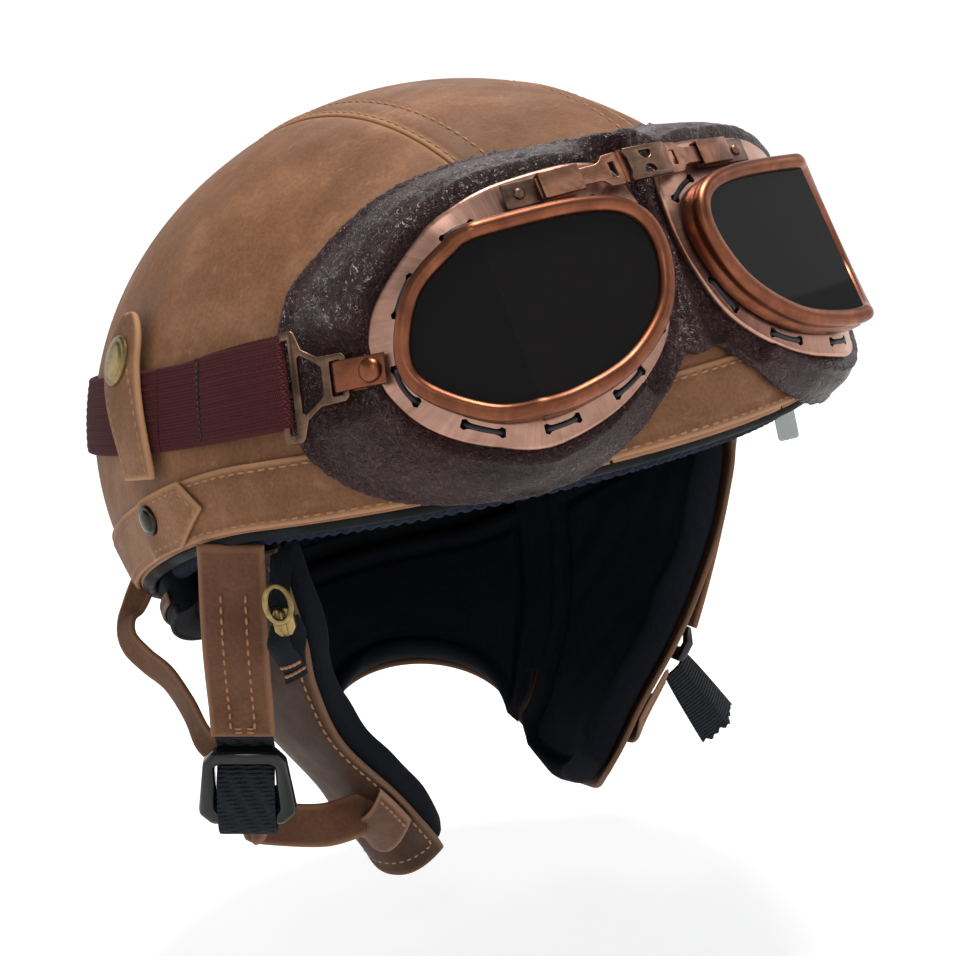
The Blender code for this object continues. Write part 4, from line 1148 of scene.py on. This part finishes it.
def flanges():
    count = 320
    inner = rayed(widened(curve(LENS, 8), 1.2), EYE_MIDDLE, count)
    outer = rayed(curve(FLANGE, 8), EYE_MIDDLE, count)
    profile = (
        (0.0, -6.4), (0.3, -6.7), (0.6, -7.2), (0.86, -7.7), (0.93, -7.7), (0.975, -8.0), (1.0, -8.6),
        (0.985, -9.2)
    )
    profile += ((0.93, -9.3), (0.85, -9.0), (0.6, -8.3), (0.3, -7.8), (0.0, -7.5))
    rings = np.array([on_bend(*mix(inner, outer, f).T, h) for f, h in profile]).transpose(1, 0, 2)
    uv = along_last(np.arange(count)[:, None] * 0.75, travel(rings, 1)).reshape(-1, 2)
    faces = grid_faces(count, len(profile), True)
    line, far, places = slot_places()
    path = np.concatenate((line, line[:1]))
    for side, flip in SIDES:
        piece = make(f"eyecup_{side}", rings.reshape(-1, 3), faces, FLANGE_COPPER, None, uv, None, flip, 35)
        for first, last in places:
            s = np.linspace(first, last, 13)
            mid = np.stack([np.interp(s, np.append(far, far[-1] + 0.75), path[:, k]) for k in (0, 1)], -1)
            step = unit(np.gradient(mid, axis=0))
            side_way = np.stack((step[:, 1], -step[:, 0]), -1)
            half = 0.75 + 0.75 * (ridge(s - first - 0.9, 0.9) + ridge(s - last + 0.9, 0.9))
            half = half[:, None] * side_way
            ring = np.concatenate((mid + half, (mid - half)[::-1]))
            n = len(ring)
            ring = np.concatenate([on_bend(*ring.T, h) for h in (-4.5, -11.5)])
            walls = side_faces(n) + flat_ends((0, n), n // 2)
            cutter = make("cutter", ring, walls, FLANGE_COPPER, None, None, None, flip)
            apply(piece, "BOOLEAN", operation="DIFFERENCE", object=cutter, solver="EXACT")
            bpy.data.objects.remove(cutter)
        piece.data.shade_smooth()
        piece.data.set_sharp_from_angle(angle=math.radians(35))
        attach(piece, "goggles")
        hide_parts(f"eyecup_flange_{side}")


def laces():
    """The cord that weaves out through one end of each slot and back in through the other."""
    line, far, places = slot_places()
    count = 1400
    dense = even(line, count, closed=True)
    reach = np.linspace(0, far[-1], count)
    height = np.full(count, -9.2)
    for first, last in places:
        inside = np.clip(np.minimum(reach - first - 0.6, last - 0.6 - reach) / 1.6, 0, 1)
        height += 1.9 * smooth(inside)
    angle = np.degrees(np.arctan2(dense[:, 1] - EYE_MIDDLE[1], dense[:, 0] - EYE_MIDDLE[0])) % 360
    start = int(np.argmin(np.abs(angle - 318)))
    order = (np.arange(count) + start) % count
    stop = int(np.argmin(np.abs(angle[order] - 250)))
    order = order[:stop] if stop > count // 2 else order[stop:]
    path = on_bend(*dense[order].T, height[order])[::3]
    for side, flip in SIDES:
        piece = cord_form(f"lace_{side}", path, 0.72, LACE, "goggles", FACE_FRONT, flip=flip, sides=8)
        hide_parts(f"flange_lace_{side}")


def rounded(half_x, half_y, r, steps=4):
    """A rectangle with rounded corners."""
    line = []
    for k, (sx, sy) in enumerate(((1, 1), (-1, 1), (-1, -1), (1, -1))):
        for i in range(steps + 1):
            a = math.radians(90 * k + 90 * i / steps)
            line.append((sx * (half_x - r) + r * math.cos(a), sy * (half_y - r) + r * math.sin(a)))
    return np.array(line)


def bridge():
    """Adjusting nose bridge: a riveted plate and box sleeve on each flange, arms, hinge pins and a link."""

    def at(h0):
        return lambda p, h: on_lens(p[:, 0], p[:, 1], h + h0)

    def moved(line, x, y):
        return line + (x, y)

    y = -10.2
    for side, flip in SIDES:
        base = plate(
            f"bridge_plate_{side}", moved(rounded(8.0, 3.6, 0.8), 22.5, y), -0.5, 0.5, at(-5.6),
            GUNMETAL, "goggles", flip=flip
        )
        stud = on_lens(19.0, y, -5.0)
        stud = turned(
            f"bridge_rivet_{side}", stud, FACE_FRONT,
            [(1.7, -0.3), (1.7, 0.15), (1.45, 0.55), (0.9, 0.85), (0.3, 0.95)], GUNMETAL, "goggles", 24,
            flip
        )
        walls = [(-3.7, -1.55), (-3.7, 1.55), (3.7, 1.55), (3.7, -1.55)]
        bore = [(-2.95, -0.85), (-2.95, 0.85), (2.95, 0.85), (2.95, -0.85)]

        def along(p, h):
            return on_lens(31.0 + 0 * p[:, 0], y + p[:, 0], -3.9 + p[:, 1]) + TO_NOSE * h

        sleeve = plate(
            f"bridge_sleeve_form_{side}", walls, -6.2, 6.2, along, BRIDGE_COPPER, "goggles", [bore],
            0.5, flip
        )
        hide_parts(f"bridge_sleeve_{side}")
        arm = [
            (27, -2.4), (42.5, -2.4), (44.0, -2.9), (45.5, -4.4), (49.6, -4.6), (50.3, -4.0),
            (50.3, 4.0), (49.6, 4.6)
        ]
        arm += [(45.5, 4.4), (44.0, 2.9), (42.5, 2.4), (27, 2.4)]
        window = [(46.6, -2.2), (48.6, -2.2), (48.6, 2.2), (46.6, 2.2)]
        piece = plate(
            f"bridge_arm_form_{side}", moved(np.array(arm), 0, y), -0.5, 0.5, at(-3.9), BRIDGE_COPPER,
            "goggles", [moved(np.array(window), 0, y)], 0.2, flip
        )
        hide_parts(f"bridge_arm_{side}")
        low, high = on_lens(50.9, y - 4.6, -3.9), on_lens(50.9, y + 4.6, -3.9)
        pin = cord_form(
            f"bridge_pin0_{side}", even([low, high], 8), 0.95, COPPER, "goggles", FACE_FRONT, flip=flip
        )
    middle = on_lens(-CREASE_TOP[0] / TO_NOSE[0], y, -3.9) * (0, 1, 1)
    across, down, front = np.array((1.0, 0, 0)), unit(CREASE_DOWN * (0, 1, 1)), unit(FACE_FRONT * (0, 1, 1))

    def centre(p, h):
        return middle + p[:, :1] * across + p[:, 1:] * down + front * h

    moon = [(2.1 * math.cos(a), 2.3 - 2.1 * abs(math.sin(a)) * 1.1) for a in np.linspace(0, math.pi, 12)]
    moon = np.array(moon)
    outline = [(-7.0, -4.7), (7.0, -4.7), (7.4, -3.6), (6.4, -2.0), (6.4, 2.0), (7.4, 3.6), (7.0, 4.7)]
    outline += [(-7.0, 4.7), (-7.4, 3.6), (-6.4, 2.0), (-6.4, -2.0), (-7.4, -3.6)]
    holes = [moon + (0, 0.9), -moon - (0, 0.9)]
    piece = plate("bridge_centre", outline, -0.9, 0.9, centre, GUNMETAL, "goggles", holes, 0.35)
    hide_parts("bridge_link")


def strap_hardware():
    """The slotted plate and the riveted loop that tie the elastic to each eyecup."""
    origin, ahead, up, out = plate_frame()

    def place(p, h):
        return origin + p[:, :1] * ahead + p[:, 1:] * up + out * h

    outline = [
        (-10.6, -13.6), (-9.6, -15), (-5.2, -15), (-4.4, -14.2), (-2.8, -9.5), (1.6, -6.6), (9.0, -6.4),
        (10.2, -5.4)
    ]
    outline = outline + [(x, -y) for x, y in outline[::-1]]
    holes = (
        [(-8.7, -12.6), (-6.6, -12.6), (-6.6, 12.6), (-8.7, 12.6)],
        [
            (-4.3, -7.3), (-3.6, -8.0), (1.6, -4.6), (2.6, -3.6), (2.6, 3.6), (1.6, 4.6), (-3.6, 8.0),
            (-4.3, 7.3)
        ],
        [(5.2, -4.7), (8.4, -4.7), (8.4, 4.7), (5.2, 4.7)],
    )
    path = (
        (21.5, 0.55), (17.5, 0.9), (14.0, 1.5), (11, 1.95), (9.0, 1.95), (7.6, 1.7), (6.8, 0.9),
        (6.6, 0), (6.8, -0.9), (7.6, -1.7), (9.0, -1.95), (11, -2.1), (14.0, -2.6)
    )
    path = curve(path, 4, closed=False)
    step = unit(np.gradient(path, axis=0))
    off = np.stack((-step[:, 1], step[:, 0]), -1)
    v = np.array((-4.1, -3.9, -3.4, 0, 3.4, 3.9, 4.1))
    thick = np.array((0.2, 0.45, 0.55, 0.55, 0.55, 0.45, 0.2))

    def across(p, o):
        return [origin + ahead * (p + o * w)[0] + out * (p + o * w)[1] + up * y for y, w in zip(v, thick)]

    rings = np.array([across(p, o) + across(p, -o)[::-1] for p, o in zip(path, off)])
    n, k = rings.shape[:2]
    faces = grid_faces(n, k, False).tolist() + flat_ends((0, (n - 1) * k), len(v))
    uv = along_last(np.arange(n)[:, None] * 1.0, np.arange(k)[None, :] * 1.2).reshape(-1, 2)
    for side, flip in SIDES:
        piece = plate(
            f"strap_buckle_{side}", outline, -0.75, 0.75, place, GUNMETAL, "goggles", holes, 0.35, flip
        )
        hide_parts(f"strap_plate_{side}")
        piece = make(
            f"side_strip_{side}", rings.reshape(-1, 3), faces, COPPER, "goggles", uv, None, flip, 40
        )
        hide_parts(f"side_loop_{side}")
        at = origin + ahead * 17.4 + out * 1.2
        profile = [(3.3, 0.0), (3.3, 0.5), (3.0, 1.2), (2.4, 1.75), (1.5, 2.1), (0.5, 2.25)]
        piece = turned(f"loop_rivet_{side}", at, out - 0.12 * ahead, profile, COPPER, "goggles", 32, flip)
        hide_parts(f"side_rivet_{side}")


goggle_mask()
lens_rims()
panes()
flanges()
laces()
bridge()
strap_hardware()

# ------------------------------------------------------------------ skirt, zipper and straps

SKIRT_FINE = curve(SKIRT, 6, closed=False)


def section(z):
    """Half width, half length, middle, and the flap's edge angles at a height of the skirt."""
    return [np.interp(-z, -SKIRT_FINE[:, 0], SKIRT_FINE[:, k]) for k in range(1, 6)]


def skirt(t, z, h):
    """The skirt's outer face at an angle from the front and a height, h outside it."""

    def at(angle, level):
        wide, long, middle = section(level)[:3]
        a = np.radians(angle)
        return along_last(wide * np.sin(a), middle - long * np.cos(a), level)

    out = unit(np.cross(at(t + 1, z) - at(t - 1, z), at(t, z + 3) - at(t, z - 3)))
    p = at(t, z)
    out = out * np.sign((out * (p - along_last(0, 10, z))).sum(-1, keepdims=True))
    return p + out * np.asarray(h)[..., None]


def flap_place(inset=0.0):
    """surface(u, v, h) of the ear flap on the wearer's right, drawn in from its edges by inset."""

    def place(u, v, h):
        u, v, h = np.broadcast_arrays(u, v, h)
        low = -139 + inset + 11 * np.abs(2 * u - 1) ** 2.5
        t = np.full(u.shape, 90.0)
        for _ in range(3):
            z = mix(rim_z(t) - SKIRT_BELOW_RIM, low, v)
            first, last = section(z)[3:]
            t = mix(first + 0.6 * inset, last - 0.6 * inset, u)
        return skirt(-t, z, h)

    return place


def curtain_place(inset=0.0):
    def place(u, v, h):
        u, v, h = np.broadcast_arrays(u, v, h)
        t = mix(122.5 + 0.6 * inset, 237.5 - 0.6 * inset, u)
        low = -85 + inset - 36 * (np.abs(t - 180) / 58.5) ** 2
        z = mix(rim_z(t) - SKIRT_BELOW_RIM, low, v)
        edge = section(z)[4]
        t = mix(edge + 2.2 + 0.6 * inset, 357.8 - edge - 0.6 * inset, u)
        return skirt(t, z, h)

    return place


def cushion(name, surface, us, vs, low, high, look, body, roll, flip=False, seed=1):
    """Soft padding with a thick rolled edge, a sewn line inside it and loose puffs between."""
    u, v = np.meshgrid(us, vs, indexing="ij")
    flat = surface(u, v, np.full(u.shape, (low + high) / 2))
    cu, cv = travel(flat, 0), travel(flat, 1)
    d = np.minimum(np.minimum(cv, cv[:, -1:] - cv), np.minimum(cu, cu[-1:] - cu))
    middle, half = (low + high) / 2, (high - low) / 2
    edge = np.sqrt(np.clip(1 - (1 - np.minimum(d / (roll / 2), 1)) ** 2, 0.01, 1))
    rng = np.random.default_rng(seed)
    lumps = sum(
        np.sin(
            cu * rng.uniform(0.08, 0.35) + cv * rng.uniform(-0.3, 0.3) + rng.uniform(0, 6)
        ) for _ in range(7)
    ) / 7
    thick = half * edge * (1 + 0.16 * lumps)
    thick = thick * (1 - 0.62 * ridge(d - roll, 1.6)) * (
        1 - 0.22 * smooth((d - roll) / 3) + 0.12 * smooth((d - roll - 5) / 8)
    )
    outer = surface(u, v, middle + half * edge * 0.9)
    inner = surface(u, v, middle + half * edge * 0.1 - thick * 1.9)
    n, k = u.shape
    rings = np.concatenate((outer, inner[:, ::-1]), 1)
    faces = grid_faces(n, 2 * k, False).tolist()
    faces += flat_ends((0, (n - 1) * 2 * k), k)
    uv = along_last(cu, cv)
    uv = np.concatenate((uv, uv[:, ::-1]), 1).reshape(-1, 2)
    return make(name, rings.reshape(-1, 3), faces, look, body, uv, None, flip)


def ear_flaps():
    outer, inner = flap_place(), flap_place(1.2)

    def dents(u, v, across, along):
        d = np.minimum(np.minimum(across, across[:, -1:] - across), np.minimum(along, along[-1:] - along))
        waves = 0.5 * np.sin(across / 17 + 1.3 * np.sin(along / 21)) + 0.3 * np.sin(along / 9 + across / 13)
        return 0.45 * waves * smooth((d - 4) / 8) - 0.35 * ridge(d - 4.0, 0.9)

    for side, flip in SIDES:
        body = f"flap_{side}"
        piece = band(
            f"flap_leather_{side}", outer, spaced(70, 100), spaced(90, 130), -2.0, 0.0, FLAP_TAN_PAINTED_SHADE, body,
            flip=flip, face=dents
        )
        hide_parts(f"ear_flap_{side}")
        pad = cushion(
            f"flap_cushion_{side}", inner, spaced(60, 96, 4), spaced(80, 126, 4), -10.6, -2.4, LINING,
            body, 9.0, flip
        )
        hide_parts(f"flap_padding_{side}")
        v = np.concatenate((np.linspace(0.03, 0.955, 90), np.full(40, 0.955), np.linspace(0.955, 0.03, 90)))
        u = np.concatenate((np.full(90, 0.05), np.linspace(0.05, 0.95, 40), np.full(90, 0.95)))
        sewn(f"flap_stitch_{side}", outer, u, v, -0.2, THREAD, body, pitch=3.8, flip=flip)


def neck_curtain():
    outer, inner = curtain_place(), curtain_place(1.2)

    def dents(u, v, across, along):
        d = np.minimum(across[:, -1:] - across, np.minimum(along, along[-1:] - along))
        waves = 0.8 * np.sin(
            along / 15 + 0.6 * np.sin(across / 9)
        ) + 0.4 * np.sin(along / 7.5 + across / 20)
        return 0.5 * waves * smooth((d - 4) / 8) - 0.35 * ridge(d - 4.0, 0.9)

    piece = band(
        "curtain_leather", outer, spaced(150, 200), spaced(50, 60), -2.0, 0.0, FLAP_TAN_PAINTED_SHADE, "helmet",
        face=dents
    )
    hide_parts("neck_curtain")
    pad = cushion(
        "curtain_cushion", inner, spaced(130, 196, 4), spaced(40, 56, 4), -10.0, -2.4, LINING, "helmet",
        8.0, seed=4
    )
    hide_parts("curtain_padding")
    for side, flip in SIDES:

        def gusset(u, v, h):
            z = mix(-30.0, -100.0, v)
            t = section(z)[4] + mix(-5.0, 6.5, u)
            return skirt(-t, z, h)

        fold = band(
            f"gusset_{side}", gusset, spaced(16, 18, 0.6), spaced(40, 70, 0.6), -12.6, -11.2, LINING,
            "helmet", edge_round=0.6, flip=flip
        )
    v = np.concatenate((np.linspace(0.05, 0.93, 40), np.full(120, 0.93), np.linspace(0.93, 0.05, 40)))
    u = np.concatenate((np.full(40, 0.022), np.linspace(0.022, 0.978, 120), np.full(40, 0.978)))
    sewn("curtain_stitch", outer, u, v, -0.2, THREAD, "helmet", pitch=3.8)


def neck_roll():
    """The black roll with a leather trim that lines the rim behind the ears."""

    def under(u, v, h):
        theta = mix(99.0, 261.0, u)
        fade = 0.35 + 0.65 * np.sin(np.pi * np.clip(mix(0.1, 0.9, u), 0, 1)) ** 0.5
        start = dome(theta, rim_z(theta) + 0 * v, h - 1.0 * v)
        return start - along_last(0 * v, 0 * v, mix(0.6, 22.0, v) * fade)

    roll = cushion(
        "neck_roll", under, spaced(120, 300, 4), spaced(40, 22, 4), -12.0, -4.0, LINING, "helmet", 7.0,
        seed=8
    )
    trim = band(
        "neck_roll_trim", under, spaced(140, 300), spaced(12, 20, 0.6) * 0.26 + 0.44, -4.4, -3.0,
        FLAP_TAN_PAINTED_SHADE, "helmet"
    )
    hem = band(
        "neck_roll_tape", under, spaced(140, 300, 0.5), spaced(8, 20, 0.5) * 0.2 + 0.8, -6.0, -4.6,
        TAPE, "helmet", edge_round=0.5
    )


def zipper():
    """The zipper that holds the skirt under the rim, ending at the wearer's right temple."""

    def tape(u, v, h):
        t = mix(73, 287, u)
        p = skirt(t, rim_z(t) - 8, h - 2.2)
        z = mix(rim_z(t) - 10.5, rim_z(t) + 1, v)
        return along_last(p[..., 0], p[..., 1], z)

    piece = band(
        "tape", tape, np.linspace(0, 1, 260), spaced(6, 11.5, 0.4), -1.0, 0.0, TAPE, "helmet",
        edge_round=0.4
    )
    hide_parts("zipper_tape")
    u = np.linspace(0, 1, 1500)
    coil = 1.0 + 0.35 * np.sin(np.arange(1500) * 2 * math.pi / 4)
    path = tape(u, np.full(1500, 0.35), np.full(1500, 0.35))
    teeth = cord_form("teeth", path, coil[:, None], TAPE, "helmet", sides=6)
    at = RING_AT + (2.2, 3.3, -0.5)
    ahead, across, up = unit((-0.55, -0.83, 0)), unit((0.83, -0.55, 0)), np.array((0, 0, 1.0))

    def on_slider(p, h):
        return at + up * p[:, :1] + across * p[:, 1:] + ahead * h

    outline = [
        (-4, -1.6), (-2.2, -2.9), (1.5, -3.0), (4, -2.0), (4, 2.0), (1.5, 3.0), (-2.2, 2.9), (-4, 1.6)
    ]
    notch = [(1.6, -0.5), (6, -0.5), (6, 0.5), (1.6, 0.5)]
    piece = plate("slider", outline, -2.1, 2.1, on_slider, BRASS, "helmet", [notch], 0.5)
    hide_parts("zip_slider")
    arch = [
        at + up * x + ahead * y for x, y in ((3.2, 1.9), (2.6, 2.9), (0, 3.3), (-2.4, 3.0), (-3.4, 1.9))
    ]
    piece = cord_form("slider_bridge", curve(np.array(arch), 4, False), 0.75, BRASS, "helmet", across)
    a = np.linspace(0, 2 * math.pi, 48, endpoint=False)[:, None]
    ring = RING_AT + across * RING_HALF[0] * np.cos(a) + up * RING_HALF[1] * (np.sin(a) + 1)
    piece = cord_form("pull_loop", ring, 0.85, BRASS, "pull_ring", ahead, closed=True, sides=14)
    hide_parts("zip_pull_ring")
    tails = (
        ((-100.5, -47, -26), (-103.5, -48, -31), (-101.5, -47, -36), (-99.5, -45, -40)),
        ((-98, -45.5, -26), (-96.5, -45, -32), (-98, -44, -38), (-98, -42.5, -44)),
        ((-91, -38, -8), (-95, -42, -14), (-99, -45.5, -20), (-99.5, -46.5, -26)),
    )
    wide_way, face_way = unit((0.75, -0.6, 0.15)), unit((-0.55, -0.8, -0.2))
    for i, points in enumerate(tails):
        path = curve(points, 8, closed=False)

        def tail(u, v, h, path=path, i=i):
            bow = h + 1.2 * np.sin(v * 3.1 + i)
            return along_line(u, path) + wide_way * mix(-3.4, 3.4, v)[..., None] + face_way * bow[..., None]

        piece = band(
            f"tape_tail{i}", tail, spaced(24, 20, 0.6), spaced(10, 6.8, 0.6), -0.6, 0.6, TAPE, "helmet",
            edge_round=0.6
        )
        if i == 2:
            continue
        line = np.linspace(0.05, 0.95, 20)
        sewn(f"bartack{i}", tail, 0.86, line, 0.7, THREAD, "helmet", pitch=1.25, length=1.6, radius=0.55)


def strap_at(along, across, out):
    """A place on the hanging front strap, by distance down it, towards the front and outwards."""
    along, across, out = (np.asarray(a, float)[..., None] for a in np.broadcast_arrays(along, across, out))
    return STRAP_TOP + HANG * along + STRAP_ACROSS * across + STRAP_FACE * out


def loose_at(u, across, out):
    """The same on the wearer's left, before mirroring, with u from 0 to 1 down the strap."""
    u, across, out = (np.asarray(a, float)[..., None] for a in np.broadcast_arrays(u, across, out))
    start, bend, end = LOOSE_STRAP
    along = unit((1 - u) * (bend - start) + u * (end - bend))
    front = unit(np.cross(np.broadcast_to((-1, -0.15, 0), along.shape), along))
    face = unit(np.cross(along, front))
    p = (1 - u) ** 2 * start + 2 * u * (1 - u) * bend + u**2 * end
    return p + front * across + face * out


def route_strap(route, upright, half):
    """surface(u, v, h) of a flat strap along a route, half wide each way."""
    _, flat, out = frames(route, upright, False)

    def surface(u, v, h):
        p, f, o = (along_line(u, m) for m in (route, flat, out))
        return p + f * mix(-half, half, v)[..., None] + o * h[..., None]

    return surface


def chin_strap_right():
    def bulged(u, v, h):
        return strap_at(
            mix(-6, 58, u), mix(-9.6, 9.6, v),
            h + 3.0 * np.sin(np.pi * np.minimum(np.maximum(u - 0.11, 0) * 1.35, 1))
        )

    def soft(u, v, across, along):
        width = across[:, -1:]
        waves = 0.35 * np.sin(along / 6.5 + 2 * np.sin(across / 6)) * smooth(along / 10)
        share = across / width
        puffed = waves + 0.6 * np.sin(np.pi * across / width)
        return puffed - 0.3 * ridge(share - 0.33, 0.05) - 0.3 * ridge(share - 0.7, 0.05)

    piece = band(
        "sleeve_right", bulged, spaced(80, 58), spaced(24, 19), -1.3, 1.2, STRAP_TAN, None, face=soft
    )
    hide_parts("chin_sleeve_right")
    start, end = strap_at(1.0, 0.0, 0.0) * MM, strap_at(13.0, 0.0, 0.0) * MM
    tuple(start)
    tuple(end)
    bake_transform(piece)
    line = np.linspace(0.22, 0.955, 60)
    for i, v in enumerate((0.33, 0.70)):
        sewn(f"sleeve_stitch{i}", bulged, line, v, 1.55, THREAD, "flap_right", pitch=3.2, length=2.3)
    for i, u in enumerate((0.945, 0.965)):
        sewn(
            f"sleeve_bar{i}", bulged, u, np.linspace(0.36, 0.72, 16), 1.5, THREAD, "flap_right",
            pitch=2.4, length=2.2
        )
    spine = [
        (54, -0.3), (58, -0.8), (61, -2.4), (65, -3.9), (69, -2.6), (73, 0.4), (79, 2.6), (85.5, 3.7),
        (89.5, 3.4)
    ]
    spine += [(91.7, 0.6), (90.5, -3.4), (86, -4.4), (79, -4.6)]

    line = even(curve(spine, 8, closed=False), 30 * len(spine))
    step = unit(np.gradient(line, axis=0))
    off = np.stack((-step[:, 1], step[:, 0]), -1)

    def webbing(u, v, h):
        q = along_line(u, line) + along_line(u, off) * h[..., None]
        return strap_at(q[..., 0], mix(-1, 1, v) * 8.8, q[..., 1])

    def ribs(u, v, across, along):
        return 0.16 * np.sin((along + 0.25 * across) * 2 * math.pi / 1.5)

    us, vs = np.linspace(0, 1, len(line)), spaced(24, 18, 0.5)
    piece = band(
        "webbing_right", webbing, us, vs, -0.75, 0.75, WEBBING, "flap_right", edge_round=0.5, face=ribs
    )
    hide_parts("chin_webbing_right")
    outline = [(-13, -9), (-9, -12.5), (9, -15), (13, -11), (13, 11), (9, 15), (-9, 12.5), (-13, 9)]
    hole = rounded(8.4, 9.2, 2.0)

    def place(p, h):
        return strap_at(75.6 + p[:, 0], p[:, 1], h)

    piece = plate("ring_right", outline, -2.8, 2.8, place, PLASTIC, "flap_right", [hole], 1.5)
    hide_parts("chin_buckle_right")


def chin_strap_left():
    def sleeve(u, v, h):
        return loose_at(mix(-0.09, 1, u), mix(-9.5, 9.5, v), h)

    piece = band(
        "sleeve_left", sleeve, spaced(60, 80), spaced(16, 19), -1.2, 1.2, STRAP_TAN, None, flip=True
    )
    upper, lower = (tuple(loose_at(u, 0, 0) * (-MM, MM, MM)) for u in (0.02, 0.17))
    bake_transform(piece)
    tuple(upper)
    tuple(lower)
    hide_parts("chin_sleeve_left")
    for i, v in enumerate((0.33, 0.70)):
        sewn(
            f"far_sleeve_stitch{i}", sleeve, np.linspace(0.1, 0.96, 60), v, 1.1, THREAD, "flap_left",
            pitch=3.2, length=2.3, flip=True
        )
    end = loose_at(1, 0, 0)
    axes = unit(LOOSE_STRAP[2] - LOOSE_STRAP[1]), loose_at(1, 1, 0) - end, loose_at(1, 0, 1) - end

    def place(p, h):
        return end + axes[0] * (p[:, :1] + 6.8) + axes[1] * p[:, 1:] + axes[2] * h

    outline = [(-6.5, -8), (-6.5, 5), (-1, 9), (6.5, 6.5), (6.5, -8)]
    hole = [(-3.8, -5.5), (-3.8, 3.6), (-2.6, 5.0), (-0.5, 6), (1.0, 5.4), (1.4, 4), (1.4, -5.5)]
    piece = plate("ring_left", outline, -1.6, 1.6, place, PLASTIC, "flap_left", [hole], 0.6, True)
    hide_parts("chin_buckle_left")

    def folded(u, v, h):
        middle = mix(LOOSE_END[0], LOOSE_END[1], u[..., None])
        fold = (1 - np.abs(2 * v - 1) ** 1.2) * mix(2, 5.5, u)
        ragged = 0.035 * np.sin(v * 31) * np.sin(v * 13) + 0.05 * ridge(v - 0.86, 0.07)
        reach = (u - ragged * smooth((u - 0.8) / 0.2))[..., None]
        middle = mix(LOOSE_END[0], LOOSE_END[1], reach)
        back = along_last(0 * u, fold + h, 0 * u)
        return middle + LOOSE_ACROSS * (mix(6.0, 9.3, u**0.7) * (2 * v - 1))[..., None] - back

    piece = band(
        "webbing_left", folded, spaced(60, 30, 0.5), spaced(60, 18, 0.5), -0.8, 0.8, WEBBING,
        "flap_left", flip=True, edge_round=0.5
    )
    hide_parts("chin_webbing_left")


def rear_straps():
    for side, flip in SIDES:
        route = curve(REAR_LEFT if flip else REAR_RIGHT, 10, closed=False)
        surface = route_strap(route, (-0.9, -0.4, -0.1), 5)
        piece = band(
            f"rear_strap_leather_{side}", surface, spaced(60, 80), spaced(14, 10), -1.0, 1.0, STRAP_TAN,
            None, flip=flip
        )
        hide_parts(f"rear_strap_{side}")
        ends = (route[i] * (-MM if flip else MM, MM, MM) for i in (8, 40))
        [tuple(end) for end in ends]
        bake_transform(piece)


def keepers():
    base = flap_place()

    def loop(u, v, h):
        rise = 5.0 * np.sin(np.pi * u)
        return base(mix(0.02, 0.43, u), mix(0.72, 0.85, v) + 0.02 * np.sin(np.pi * u), h + rise + 0.4)

    for side, flip in SIDES:
        piece = band(
            f"keeper_loop_{side}", loop, spaced(60, 42), spaced(20, 17), 0.0, 1.8, KEEPER_TAN,
            f"flap_{side}", flip=flip
        )
        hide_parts(f"flap_keeper_{side}")
        v = np.linspace(0.08, 0.92, 16)
        for i, u in enumerate((0.075, 0.925)):
            sewn(
                f"keeper_bar{i}_{side}", loop, u, v, 1.75, THREAD, f"flap_{side}", pitch=2.6,
                length=2.2, radius=0.5, flip=flip
            )


def strap_tail():
    """The stitched leather end that bends back from the buckle into the keeper."""
    base = flap_place()
    inside = base(np.float64(0.2), np.float64(0.76), np.float64(2.8))
    low = base(np.float64(0.24), np.float64(0.84), np.float64(3.0))
    points = [strap_at(87.0, 1.0, -4.5), strap_at(94.0, 0.0, -7.0), strap_at(99.0, 1.0, -13.0)]
    points += [mix(points[2], inside, 0.55) - (0, 0, 2.5), inside, low]
    route = curve(np.array(points), 10, closed=False)
    surface = route_strap(route, (-0.85, -0.45, 0.25), 7.0)
    piece = band("strap_tail", surface, spaced(70, 50), spaced(14, 14), -1.0, 1.0, STRAP_TAN, "flap_right")
    for i, v in enumerate((0.14, 0.86)):
        sewn(
            f"strap_tail_stitch{i}", surface, np.linspace(0.05, 0.95, 50), v, 0.9, THREAD, "flap_right",
            pitch=3.0, length=2.2
        )


def size_tab():
    """A small clear tab that hangs under the rim at the wearer's left front."""
    at = np.array((98.0, -52.0, -17.5))
    along, up, away = np.array(((0.84, -0.54, 0.0), (0, 0, 1.0), (0.54, 0.84, 0)))

    def place(p, h):
        return at + along * p[:, :1] + up * p[:, 1:] + away * h

    piece = plate(
        "clear_tab", rounded(3.6, 9.2, 1.2) + (0.0, 4.6), -0.4, 0.4, place, CLEAR_TAB, "helmet",
        round_edge=0.2
    )


ear_flaps()
neck_curtain()
neck_roll()
zipper()
chin_strap_right()
chin_strap_left()
rear_straps()
keepers()
strap_tail()
size_tab()
